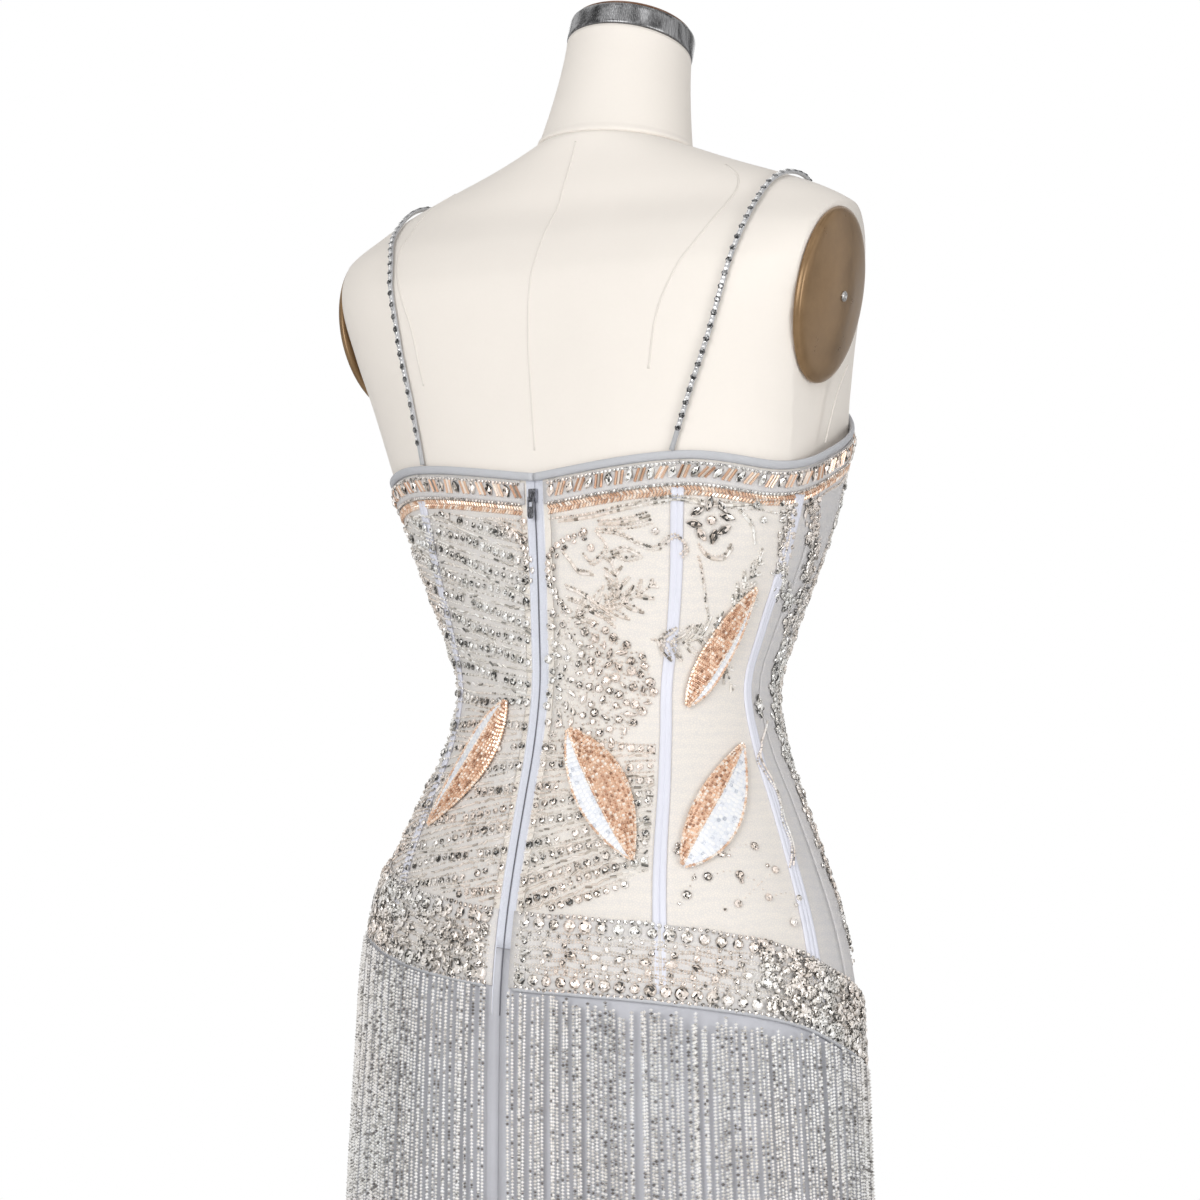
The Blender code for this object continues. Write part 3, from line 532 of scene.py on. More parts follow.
def set_ramp(ramp_node, stops):
    """Colour stops of a ramp as (position, colour) pairs."""
    elements = ramp_node.color_ramp.elements
    while len(elements) < len(stops):
        elements.new(0.5)
    for element, (position, colour) in zip(elements, stops):
        element.position = position
        element.color = (*colour, 1.0)


def add_nodes(tree, nodes, wires, **known):
    """Add nodes and join them.

    A node is its kind, the values of its free inputs and its settings.
    A wire is written "node.output > node.input".
    """
    for name, parts in nodes.items():
        kind, values, settings = (*parts, {})[:3]
        made = known[name] = tree.nodes.new("ShaderNode" + kind)
        for label, value in settings.items():
            if label == "stops":
                set_ramp(made, value)
            else:
                setattr(made, label, value)
        for label, value in values.items():
            made.inputs[label].default_value = value
    for wire in wires:
        (start, output), (end, target) = (side.split(".") for side in wire.split(" > "))
        target = int(target) if target.isdigit() else target
        tree.links.new(known[start].outputs[output], known[end].inputs[target])


def new_group(name, inputs, outputs, nodes, wires):
    """A node group with its inputs as (kind, value) and its outputs as kinds, by name."""
    tree = bpy.data.node_groups.new(name, "ShaderNodeTree")
    for label, (kind, value) in inputs.items():
        socket = tree.interface.new_socket(name=label, in_out="INPUT", socket_type="NodeSocket" + kind)
        socket.default_value = value
    for label, kind in outputs.items():
        tree.interface.new_socket(name=label, in_out="OUTPUT", socket_type="NodeSocket" + kind)
    given = tree.nodes.new("NodeGroupInput")
    made = tree.nodes.new("NodeGroupOutput")
    add_nodes(tree, nodes, wires, given=given, made=made)
    return tree


def soft_variation():
    """Two close colours mixed in soft patches, with a finer grain over them."""
    return new_group(
        "soft_variation",
        {
            "Colour": ("Color", (0.8, 0.8, 0.8, 1.0)), "Other Colour": ("Color", (0.7, 0.7, 0.7, 1.0)),
            "Patch Scale": ("Float", 9.0), "Grain Scale": ("Float", 400.0),
        },
        {"Colour": "Color"},
        {
            "place": ("TexCoord", {}),
            "patches": ("TexNoise", {"Detail": 3.0, "Roughness": 0.55}),
            "grain": ("TexNoise", {"Detail": 2.0, "Roughness": 0.6}),
            "both": ("Math", {1: 0.35}, {"operation": "MULTIPLY_ADD"}),
            "spread": ("MapRange", {"From Min": 0.45, "From Max": 0.95}),
            "mix": ("Mix", {}, {"data_type": "RGBA"}),
        },
        (
            "place.Object > patches.Vector", "place.Object > grain.Vector",
            "given.Patch Scale > patches.Scale", "given.Grain Scale > grain.Scale", "grain.Fac > both.0",
            "patches.Fac > both.2", "both.Value > spread.Value", "spread.Result > mix.Factor",
            "given.Colour > mix.A", "given.Other Colour > mix.B", "mix.Result > made.Colour",
        ),
    )


def woven_threads():
    """Height of fine crossed threads, with a slower ripple along one of them."""
    return new_group(
        "woven_threads",
        {"Thread Scale": ("Float", 300.0), "Ripple Scale": ("Float", 40.0)},
        {"Height": "Float"},
        {
            "place": ("TexCoord", {}),
            "upright": ("TexWave", {"Distortion": 1.5, "Detail": 1.0}, {"bands_direction": "Z"}),
            "level": ("TexWave", {"Distortion": 1.5, "Detail": 1.0}, {"bands_direction": "DIAGONAL"}),
            "ripple": ("TexNoise", {"Detail": 2.0}),
            "crossed": ("Math", {}, {"operation": "MULTIPLY"}),
            "summed": ("Math", {1: 0.6}, {"operation": "MULTIPLY_ADD"}),
        },
        (
            "place.Object > upright.Vector", "place.Object > level.Vector", "place.Object > ripple.Vector",
            "given.Thread Scale > upright.Scale", "given.Thread Scale > level.Scale",
            "given.Ripple Scale > ripple.Scale", "upright.Fac > crossed.0", "level.Fac > crossed.1",
            "crossed.Value > summed.0", "ripple.Fac > summed.2", "summed.Value > made.Height",
        ),
    )


def brushed_grain():
    """Fine streaks along one direction, for brushed or drawn metal."""
    return new_group(
        "brushed_grain",
        {"Stretch": ("Vector", (60.0, 60.0, 2.0)), "Low": ("Float", 0.2), "High": ("Float", 0.5)},
        {"Roughness": "Float", "Streak": "Float"},
        {
            "place": ("TexCoord", {}),
            "stretched": ("Mapping", {}),
            "streaks": ("TexNoise", {"Scale": 6.0, "Detail": 5.0, "Roughness": 0.65}),
            "spread": ("MapRange", {"From Min": 0.3, "From Max": 0.7}),
        },
        (
            "place.Object > stretched.Vector", "given.Stretch > stretched.Scale",
            "stretched.Vector > streaks.Vector", "streaks.Fac > spread.Value", "given.Low > spread.To Min",
            "given.High > spread.To Max", "spread.Result > made.Roughness", "streaks.Fac > made.Streak",
        ),
    )


def shared(maker):
    """A node group of more than one finish, built the first time that it is asked for."""
    return {"node_tree": bpy.data.node_groups.get(maker.__name__) or maker()}


def new_finish(name, nodes, wires, **sockets):
    """A material with constant values on its Principled shader, and nodes wired to it."""
    finish = bpy.data.materials.new(name)
    finish.use_nodes = True
    shader = finish.node_tree.nodes["Principled BSDF"]
    for label, value in sockets.items():
        shader.inputs[label.replace("_", " ")].default_value = value
    add_nodes(finish.node_tree, nodes, wires, shader=shader)
    return finish


def cloth_finish(name, colour, other, threads, bump, patch=9.0, **sockets):
    """A woven or knitted cloth with soft colour patches and fine threads."""
    patches = {
        "Colour": (*colour, 1.0), "Other Colour": (*other, 1.0), "Patch Scale": patch, "Grain Scale": threads,
    }
    return new_finish(
        name,
        {
            "variation": ("Group", patches, shared(soft_variation)),
            "weave": ("Group", {"Thread Scale": threads}, shared(woven_threads)),
            "bump": ("Bump", {"Strength": bump, "Distance": 0.0006}),
        },
        ("variation.Colour > shader.Base Color", "weave.Height > bump.Height", "bump.Normal > shader.Normal"),
        **sockets,
    )


def bead_finish(name, stops, warm=0.0, **sockets):
    """Glass, metal or sequins: each face takes its colour from its own tone on a ramp from dark to bright,
    painted glints and reflections, and is painted warmer in patches, a painted warm reflection.
    """
    return new_finish(
        name,
        {
            "place": ("TexCoord", {}),
            "tone": ("Attribute", {}, {"attribute_name": "tone"}),
            "ramp": ("ValToRGB", {}, {"stops": stops}),
            "patches": ("TexNoise", {"Scale": 16.0, "Detail": 1.0}),
            # Painted warm reflection: the beads are tinted warmer in soft patches
            "warmth": ("MapRange", {"From Min": 0.35, "From Max": 0.65, "To Max": warm}),
            "tint": ("Mix", {"B": (0.98, 0.80, 0.70, 1.0)}, {"data_type": "RGBA", "blend_type": "MULTIPLY"}),
            "wear": ("TexNoise", {"Scale": 700.0, "Detail": 1.0}),
            "rough": ("MapRange", {"To Min": 0.05, "To Max": 0.32}),
        },
        (
            "tone.Fac > ramp.Fac", "place.Object > patches.Vector", "patches.Fac > warmth.Value",
            "warmth.Result > tint.Factor", "ramp.Color > tint.A", "tint.Result > shader.Base Color",
            "place.Object > wear.Vector", "wear.Fac > rough.Value", "rough.Result > shader.Roughness",
        ),
        **sockets,
    )


def metal_finish(name, dark, light, stretch, low, high, **sockets):
    """Brushed metal with streaks along one direction."""
    return new_finish(
        name,
        {
            "grain": ("Group", {"Stretch": stretch, "Low": low, "High": high}, shared(brushed_grain)),
            "ramp": ("ValToRGB", {}, {"stops": ((0.35, dark), (0.65, light))}),
        },
        ("grain.Streak > ramp.Fac", "ramp.Color > shader.Base Color", "grain.Roughness > shader.Roughness"),
        **sockets,
    )


def net_finish(name, colours):
    """Fine net: warm where the form shows through, greyer where its tone is high; on the bodice that tone is
    painted shade.
    """
    return new_finish(
        name,
        {
            "place": ("TexCoord", {}),
            "tone": ("Attribute", {}, {"attribute_name": "tone"}),
            "cells": ("TexVoronoi", {"Scale": 620.0}, {"feature": "DISTANCE_TO_EDGE"}),
            "thread": ("MapRange", {"From Max": 0.22, "To Min": 0.24, "To Max": 0.0}),
            "folds": ("TexWave", {"Scale": 42.0, "Distortion": 5.0, "Detail": 3.0}, {"bands_direction": "Z"}),
            "fold_share": ("Math", {1: 0.07}, {"operation": "MULTIPLY_ADD"}),
            "total": ("Math", {}, {"operation": "ADD", "use_clamp": True}),
            "mix": ("Mix", {"A": (*colours.ground, 1.0), "B": (*colours.net, 1.0)}, {"data_type": "RGBA"}),
            "bump": ("Bump", {"Strength": 0.25, "Distance": 0.0004}),
        },
        (
            "place.Object > cells.Vector", "place.Object > folds.Vector", "cells.Distance > thread.Value",
            "folds.Fac > fold_share.0", "tone.Fac > fold_share.2", "fold_share.Value > total.0",
            "thread.Result > total.1", "total.Value > mix.Factor", "mix.Result > shader.Base Color",
            "total.Value > bump.Height", "bump.Normal > shader.Normal",
        ),
        Roughness=0.78, Sheen_Weight=0.2,
    )


def tape_finish(name, colours):
    """Zip tape: bare and lavender by the teeth, under warm net further out."""
    return new_finish(
        name,
        {
            "place": ("TexCoord", {}),
            "axes": ("SeparateXYZ", {}),
            "distance": ("Math", {}, {"operation": "ABSOLUTE"}),
            "covered": ("MapRange", {"From Min": 0.0064, "From Max": 0.0074}),
            "grain": ("TexNoise", {"Scale": 900.0, "Detail": 2.0}),
            "shade": ("MapRange", {"To Min": 0.85, "To Max": 1.05}),
            "mix": ("Mix", {"A": (*colours.tape, 1.0), "B": (*colours.ground, 1.0)}, {"data_type": "RGBA"}),
            "worn": ("Mix", {"Factor": 1.0}, {"data_type": "RGBA", "blend_type": "MULTIPLY"}),
            "bump": ("Bump", {"Strength": 0.3, "Distance": 0.0003}),
        },
        (
            "place.Object > axes.Vector", "place.Object > grain.Vector", "axes.X > distance.0",
            "distance.Value > covered.Value", "covered.Result > mix.Factor", "grain.Fac > shade.Value",
            "mix.Result > worn.A", "shade.Result > worn.B", "worn.Result > shader.Base Color",
            "grain.Fac > bump.Height", "bump.Normal > shader.Normal",
        ),
        Roughness=0.6,
    )


# Foil-backed crystal, its faces painted from near black to white: painted glints and reflections
CRYSTAL_GLINT_STOPS = (
    (0.0, (0.02, 0.02, 0.018)), (0.16, (0.10, 0.095, 0.085)), (0.32, (0.42, 0.40, 0.36)),
    (0.55, (0.86, 0.84, 0.79)), (1.0, (1.0, 1.0, 0.99)),
)


def shade(colour, share):
    """A colour made darker."""
    return tuple(part * share for part in colour)


def finish_named(name):
    """A finish by its name, built the first time that it is asked for."""
    found = bpy.data.materials.get(name)
    if found is not None:
        return found
    colours = bpy.context.scene.gown_colours
    makers = {
        "form_jersey": lambda: cloth_finish(
            name, colours.form, shade(colours.form, 0.965), 520.0, 0.10,
            Roughness=0.82, Sheen_Weight=0.12,
        ),
        "form_seam_thread": lambda: cloth_finish(
            name, shade(colours.form, 0.93), shade(colours.form, 0.88),
            900.0, 0.3, Roughness=0.85,
        ),
        "brushed_steel": lambda: metal_finish(
            name, (0.12, 0.12, 0.123), (0.34, 0.34, 0.345), (240.0, 240.0, 10.0), 0.16, 0.28, Metallic=1.0,
        ),
        "cap_brown_enamel": lambda: metal_finish(
            name, (0.11, 0.045, 0.02), (0.20, 0.09, 0.04), (6.0, 6.0, 6.0), 0.25, 0.4, Coat_Weight=0.4,
        ),
        "plate_bronze": lambda: metal_finish(
            name, (0.225, 0.135, 0.062), (0.275, 0.170, 0.082), (9.0, 9.0, 9.0), 0.27, 0.36, Metallic=0.45,
        ),
        "polished_steel": lambda: metal_finish(
            name, (0.32, 0.31, 0.30), (0.62, 0.61, 0.60), (90.0, 90.0, 90.0), 0.2, 0.4, Metallic=1.0,
        ),
        "painted_steel": lambda: metal_finish(
            name, (0.24, 0.24, 0.25), (0.40, 0.40, 0.41), (30.0, 30.0, 2.0), 0.25, 0.45, Metallic=0.9,
        ),
        "zip_alloy": lambda: metal_finish(
            name, (0.24, 0.24, 0.26), (0.46, 0.46, 0.49), (200.0, 200.0, 60.0), 0.18, 0.32, Metallic=1.0,
        ),
        "lavender_net": lambda: net_finish(name, colours),
        "zip_tape_cloth": lambda: tape_finish(name, colours),
        "zip_line": lambda: cloth_finish(
            name, (0.10, 0.10, 0.12), (0.18, 0.18, 0.21), 900.0, 0.3, Roughness=0.6,
        ),
        "pale_satin": lambda: cloth_finish(
            name, colours.satin, shade(colours.satin, 0.95), 700.0, 0.15,
            Roughness=0.42, Sheen_Weight=0.2,
        ),
        "grey_binding": lambda: cloth_finish(
            name, colours.binding, shade(colours.binding, 0.9), 600.0, 0.3, Roughness=0.7,
        ),
        "lavender_lining": lambda: cloth_finish(
            name, colours.lining, shade(colours.lining, 0.9), 500.0, 0.15, patch=30.0,
            Roughness=0.55, Sheen_Weight=0.2,
        ),
        "grey_mesh": lambda: cloth_finish(
            name, (0.50, 0.51, 0.53), (0.68, 0.69, 0.71), 1500.0, 0.6, Roughness=0.5,
        ),
        # The bead finishes below run from dark to bright, and each face's tone picks its colour on them:
        # painted glints and reflections
        "crystal": lambda: bead_finish(name, CRYSTAL_GLINT_STOPS, 0.7, Metallic=0.35, Coat_Weight=1.0),
        "clear_beads": lambda: bead_finish(
            name, ((0.0, (0.10, 0.10, 0.09)), (0.14, (0.36, 0.34, 0.30)), (0.32, (0.76, 0.72, 0.66)),
                   (1.0, (1.0, 1.0, 0.98))),
            0.5, Coat_Weight=0.6,
        ),
        "fringe_beads": lambda: bead_finish(
            name, ((0.0, (0.17, 0.16, 0.15)), (0.3, (0.70, 0.685, 0.655)), (0.55, (0.97, 0.955, 0.92)),
                   (1.0, (1.0, 1.0, 1.0))),
            0.12, Coat_Weight=0.7,
        ),
        "copper_beads": lambda: bead_finish(
            name, ((0.0, (0.28, 0.14, 0.08)), (0.35, (0.66, 0.38, 0.24)), (0.7, (0.94, 0.68, 0.50)),
                   (1.0, (1.0, 0.93, 0.85))),
            Metallic=0.25, Coat_Weight=0.7,
        ),
        "white_sequins": lambda: bead_finish(
            name, ((0.0, (0.50, 0.53, 0.60)), (0.25, (0.86, 0.89, 0.96)), (1.0, (1.0, 1.0, 1.0))),
            Coat_Weight=0.6,
        ),
        "strap_sequins": lambda: bead_finish(
            name, ((0.0, (0.01, 0.01, 0.012)), (0.5, (0.50, 0.50, 0.50)), (1.0, (1.0, 1.0, 1.0))),
            Metallic=0.5, Coat_Weight=0.6,
        ),
        "floor_paper": lambda: cloth_finish(
            name, (0.86, 0.86, 0.86), (0.84, 0.84, 0.84), 60.0, 0.02, patch=2.0, Roughness=0.9,
        ),
    }
    return makers[name]()


# Dress form


def arm_place(side):
    """Placement of an arm plate: its own Z points out of the armhole."""
    normal = Vector((
        side * math.cos(ARM_TILT) * math.cos(ARM_YAW),
        -math.cos(ARM_TILT) * math.sin(ARM_YAW),
        -math.sin(ARM_TILT),
    ))
    upright = (Vector((0.0, 0.0, 1.0)) - normal * normal.z).normalized()
    across = upright.cross(normal)
    place = Matrix((across, upright, normal)).transposed().to_4x4()
    place = place @ Matrix.Rotation(-side * ARM_ROLL, 4, "Z")
    place.translation = (side * ARM_CENTRE.x, ARM_CENTRE.y, ARM_CENTRE.z)
    return place


def neck_place():
    """Placement of the neck's top: its own Z points out of the cut."""
    place = Matrix.Rotation(NECK_TOP_TILT, 4, "X")
    place.translation = NECK_TOP_CENTRE
    return place


def torso_shape():
    """The torso as one smooth closed skin, cut flat at the armholes."""
    columns = np.linspace(0.0, COLUMNS, 161)
    heights = np.concatenate((np.linspace(FORM_UNDERSIDE, 1.30, 70), np.linspace(1.305, FORM_TOP, 44)))
    shape = laid_grid(surface(BODY, columns[None, :], heights[:, None], 0.0))
    bmesh.ops.remove_doubles(shape, verts=shape.verts[:], dist=1e-6)
    for side in (1.0, -1.0):
        place = arm_place(side)
        bmesh.ops.bisect_plane(
            shape, geom=shape.verts[:] + shape.edges[:] + shape.faces[:], dist=1e-5,
            plane_co=place.translation, plane_no=place.col[2].xyz, clear_outer=True,
        )
    bmesh.ops.holes_fill(shape, edges=shape.edges[:], sides=0)
    bmesh.ops.recalc_face_normals(shape, faces=shape.faces[:])
    return shape


def neck_shape():
    """The neck, from its sewn-on foot to its tilted top."""
    sides = 96
    turn = np.linspace(0.0, 2.0 * math.pi, sides + 1)
    tilt = np.array(Matrix.Rotation(NECK_TOP_TILT, 3, "X"))
    foot = surface(BODY, turn / COLUMN_TURN, FORM_TOP, 0.0)
    foot[:, 2] += 0.0003
    flat = np.stack((-np.sin(turn), np.cos(turn), 0.0 * turn), axis=1) * NECK_TOP_RADIUS
    head = np.array(NECK_TOP_CENTRE) + flat @ tilt.T
    rows = []
    for share in np.concatenate((np.linspace(0.0, 0.08, 5), np.linspace(0.12, 1.0, 28))):
        proud = 0.0012 * math.exp(-(((share - 0.03) / 0.022) ** 2))
        pinch = 1.0 - (1.0 - share) ** 1.5
        middle = foot + (head - foot) * share
        spread = foot + (head - foot) * pinch
        row = np.stack((spread[:, 0], spread[:, 1] * 0.4 + middle[:, 1] * 0.6, middle[:, 2]), axis=1)
        centre = row[:-1].mean(axis=0)
        away = row - centre
        away[:, 2] = 0.0
        rows.append(row + unit(away) * proud)
    return closed_grid(np.array(rows))


def on_left(line):
    """A line of the wearer's right side, on the left."""
    return [(COLUMNS - column, height) for column, height in line]


def seam_on_form(points):
    """A flat-felled seam that stands just proud of the form."""
    columns, heights = drawn(points, 80)
    found, _, _, outward = frames_on(BODY, columns, heights, 0.0)
    return tube(found, outward, SEAM_RADIUS, 8, 0.45)


def joined(shapes):
    """Several bmeshes as one."""
    whole = bmesh.new()
    for shape in shapes:
        mesh = bpy.data.meshes.new("part_of_whole")
        shape.to_mesh(mesh)
        shape.free()
        whole.from_mesh(mesh)
        bpy.data.meshes.remove(mesh)
    return whole


class GOWN_OT_form(bpy.types.Operator):
    """Build the form's torso and neck with their seams"""

    bl_idname = "gown.form"
    bl_label = "Dress Form"

    def execute(self, context):
        build("dress_form_torso", torso_shape(), "form_jersey", "form_cloth", "form_torso")
        build("dress_form_neck", neck_shape(), "form_jersey", "form_cloth", "form_neck")
        back, armhole, bust, front, side = (
            ((0.0, 1.413), (0.0, 1.37), (0.0, 1.30), (0.0, 1.20)),
            ((5.9, 1.392), (3.9, 1.352), (3.2, 1.30), (3.1, 1.25)),
            ((14.0, 1.385), (15.2, 1.34), (15.8, 1.29), (16.0, 1.25)),
            ((20.0, 1.41), (20.0, 1.36), (20.0, 1.30), (20.0, 1.245)),
            ((10.2, 1.258), (10.0, 1.24), (9.9, 1.22), (9.8, 1.205)),
        )
        lines = (back, armhole, on_left(armhole), bust, on_left(bust), front, side, on_left(side))
        seams = joined([seam_on_form(line) for line in lines])
        build("dress_form_seams", seams, "form_seam_thread", "form_cloth")
        return {"FINISHED"}


class GOWN_OT_fittings(bpy.types.Operator):
    """Build the neck cap, the arm plates and their screws"""

    bl_idname = "gown.fittings"
    bl_label = "Cap and Arm Plates"

    def execute(self, context):
        ring = (
            (0.0, 0.0004), (0.0441, 0.0004), (0.0457, 0.0012), (0.0457, 0.0158), (0.0441, 0.017),
            (0.0, 0.017),
        )
        dome = (
            (0.0, 0.0174), (0.0432, 0.0174), (0.0428, 0.0195), (0.033, 0.0216), (0.015, 0.0238),
            (0.0, 0.0242),
        )
        plate = (
            (0.0, 0.0003), (0.975, 0.0003), (1.0, 0.0022), (0.985, 0.0052), (0.92, 0.0071), (0.68, 0.0096),
            (0.36, 0.0124), (0.10, 0.0134), (0.0, 0.0134),
        )
        screw = (
            (0.0, 0.0130), (0.0036, 0.0130), (0.0037, 0.0143), (0.0030, 0.0151), (0.0018, 0.0152),
            (0.0016, 0.0143), (0.0, 0.0142),
        )
        build("cap_ring", turned(ring, neck_place(), 96), "brushed_steel", "cap_steel", "neck_cap_ring")
        build("cap_dome", turned(dome, neck_place(), 96), "cap_brown_enamel", "cap_brown", "neck_cap_top")
        oval = Matrix.Diagonal((ARM_PLATE_HALF_DEPTH, ARM_PLATE_HALF_HEIGHT, 1.0, 1.0))
        for side, word in ((1.0, "left"), (-1.0, "right")):
            place = arm_place(side)
            disc = turned(plate, place @ oval, 96)
            build("plate_" + word, disc, "plate_bronze", "plate_brown", "arm_plate_" + word)
            head = turned(screw, place, 32)
            build("screw_" + word, head, "polished_steel", "screw_steel", "arm_screw_" + word)
        return {"FINISHED"}


class GOWN_OT_stand(bpy.types.Operator):
    """Build the round base and the pole"""

    bl_idname = "gown.stand"
    bl_label = "Stand"

    def execute(self, context):
        base = (
            (0.0, 0.0), (0.147, 0.0), (0.150, 0.003), (0.149, 0.0075), (0.140, 0.0108), (0.038, 0.0133),
            (0.030, 0.016), (0.028, 0.0295), (0.0, 0.030),
        )
        pole = (
            (0.0, 0.0303), (0.0165, 0.0303), (0.0165, 0.350), (0.0165, 0.670), (0.024, 0.680), (0.024, 0.689),
            (0.045, 0.691), (0.045, 0.6997), (0.0, 0.6997),
        )
        build("stand_base", turned(base, Matrix(), 128), "painted_steel", "stand_steel", "form_base")
        build("stand_pole", turned(pole, Matrix(), 64), "painted_steel", "stand_steel", "form_pole")
        return {"FINISHED"}


# Cloth


def panel_points(table, start, end, low, high, out, column_step=0.25, rows=34):
    """Points of a panel between two columns and two edges, each a function of the column."""
    count = max(int(round((end - start) / column_step)), 2) + 1
    columns = np.linspace(start, end, count)
    shares = np.linspace(0.0, 1.0, rows)[:, None]
    heights = low(columns) + (high(columns) - low(columns)) * shares
    columns = np.broadcast_to(columns, heights.shape)
    return columns, heights, surface(table, columns, heights, out)


def net_tones(columns):
    """Painted shade on the net: least grey over the back of the form, greyest where it turns round the side,
    and greyer over the left half.
    """
    folded = np.minimum(np.mod(columns, COLUMNS), COLUMNS - np.mod(columns, COLUMNS))
    side = np.clip((folded - 8.0) / 1.6, 0.0, 1.0)
    side = side * side * (3.0 - 2.0 * side) * np.exp(-((np.maximum(folded - 12.0, 0.0) / 3.0) ** 2))
    left = np.where(columns > 0.5 * COLUMNS, 0.20, 0.04)
    return 0.40 * side + left


def cloth_panel(name, points, finish, slot, node, tones=None):
    """A panel of cloth, given its thickness, standing for a CAD node."""
    piece = add_thickness(keep(name, laid_grid(points, tones), finish), CLOTH_THICKNESS)
    settle(piece, slot, node)


def upright_tube(column, low, high, out, steps, *section):
    """A tube down the bodice along one column."""
    points, _, _, outward = frames_on(BODY, np.full(steps, column), np.linspace(low, high, steps), out)
    return tube(points, outward, *section)


BODICE_PANELS = (
    ("back_right", ZIP_HALF_COLUMNS, 4.0), ("side_back_right", 4.0, 10.0), ("side_front_right", 10.0, 16.0),
    ("front", 16.0, 24.0), ("side_front_left", 24.0, 30.0), ("side_back_left", 30.0, 36.0),
    ("back_left", 36.0, COLUMNS - ZIP_HALF_COLUMNS),
)


class GOWN_OT_bodice(bpy.types.Operator):
    """Build the seven net panels of the bodice and the two zip tapes"""

    bl_idname = "gown.bodice"
    bl_label = "Bodice"

    def execute(self, context):
        for name, start, end in BODICE_PANELS:
            columns, _, points = panel_points(
                BODY, start + SEAM_COLUMNS, end - SEAM_COLUMNS, bodice_bottom, top_edge, CLOTH_OUTER,
            )
            # Painted shade: the net is greyer at the sides and over the left half
            tones = net_tones(columns)
            cloth_panel("net_" + name, points, "lavender_net", "net", "bodice_" + name, tones)
        for word, start in (("right", 0.0), ("left", COLUMNS - ZIP_HALF_COLUMNS)):
            _, _, points = panel_points(
                BODY, start + SEAM_COLUMNS, start + ZIP_HALF_COLUMNS - SEAM_COLUMNS, bodice_bottom, top_edge,
                CLOTH_OUTER, 0.05,
            )
            cloth_panel("tape_" + word, points, "zip_tape_cloth", "tape", "zip_tape_" + word)
        line = upright_tube(0.0, 0.818, 1.166, CLOTH_OUTER + 0.0001, 120, 0.0005, 8, 0.6)
        build("zip_centre_line", line, "zip_line", "zip_metal")
        folds = [
            upright_tube(column, 0.818, 1.166, CLOTH_OUTER, 120, 0.0006, 8, 0.55) for column in (-0.23, 0.23)
        ]
        build("zip_stitched_edges", joined(folds), "zip_tape_cloth", "tape")
        return {"FINISHED"}


# Name, column and number of folds between the cords
BONES = (
    ("back_right", 4.0, 1), ("side_right", 8.5, 2), ("front_right", 16.0, 1),
    ("front_left", 24.0, 1), ("side_left", 31.5, 2), ("back_left", 36.0, 1),
)


class GOWN_OT_boning(bpy.types.Operator):
    """Build the six satin boning channels"""

    bl_idname = "gown.boning"
    bl_label = "Boning"

    def execute(self, context):
        spacing = 0.17
        for name, centre, folds in BONES:
            low = float(band_top(centre)) - 0.046
            high = float(top_edge(centre)) - NECK_BAND_HEIGHT - 0.004
            radius = 0.0024 if folds == 1 else 0.0021
            shapes = [
                upright_tube(centre + spacing * (cord - 0.5 * folds), low, high, TRIM_INNER + 0.0002, 60,
                             radius, 12, 0.5)
                for cord in range(folds + 1)
            ]
            build("bone_" + name, joined(shapes), "pale_satin", "satin", "boning_" + name)
        return {"FINISHED"}


class GOWN_OT_binding(bpy.types.Operator):
    """Build the rolled binding of the top edge"""

    bl_idname = "gown.binding"
    bl_label = "Top Binding"

    def execute(self, context):
        columns = np.linspace(0.012, COLUMNS - 0.012, 321)
        turn = np.linspace(0.0, 2.0 * math.pi, 15)
        out = 0.0009 + 0.0017 * (1.0 - np.cos(turn))
        rise = 0.0023 + 0.0029 * np.sin(turn)
        foot = top_edge(columns) + 0.0003
        points = surface(BODY, columns[:, None], foot[:, None] + rise[None, :], out[None, :])
        build("rolled_binding", closed_grid(points), "grey_binding", "binding", "top_binding")
        return {"FINISHED"}


def skirt_top(columns):
    """Height of the skirt's upper edge, under the hip band."""
    return bodice_bottom(columns) - 0.0003


class GOWN_OT_underskirt(bpy.types.Operator):
    """Build the three panels of the fluted underskirt"""

    bl_idname = "gown.underskirt"
    bl_label = "Underskirt"

    def execute(self, context):
        panels = (("back_right", 0.0, 10.0), ("front", 10.0, 30.0), ("back_left", 30.0, float(COLUMNS)))
        for name, start, end in panels:
            _, _, points = panel_points(
                SKIRT, start + SEAM_COLUMNS, end - SEAM_COLUMNS,
                lambda columns: np.full(len(columns), HEM_HEIGHT), skirt_top, CLOTH_OUTER, 0.2, 84,
            )
            cloth_panel("lining_" + name, points, "lavender_lining", "lining", "skirt_" + name)
        return {"FINISHED"}


# Beadwork


def row_heights(columns, start, climbs, way):
    """Height of a curved bead row at columns away from the zip."""
    climb = float(smooth_curve(climbs, start))
    return start + climb * np.sin(math.pi * np.abs(columns - way) / (0.5 * COLUMNS))


def over_bones(columns):
    """How far beads stand out from the form: further where they cross a bone."""
    lift = sum(np.exp(-(((columns - bone) / 0.34) ** 4)) for _, bone, _ in BONES)
    return CLOTH_OUTER + 0.0006 + 0.0024 * lift


def within_bodice(found):
    """Which places lie between the hip band and the neckline band."""
    columns, heights = found
    low = band_top(columns) + 0.002
    high = top_edge(columns) - NECK_BAND_HEIGHT - 0.013
    return (heights > low) & (heights < high)


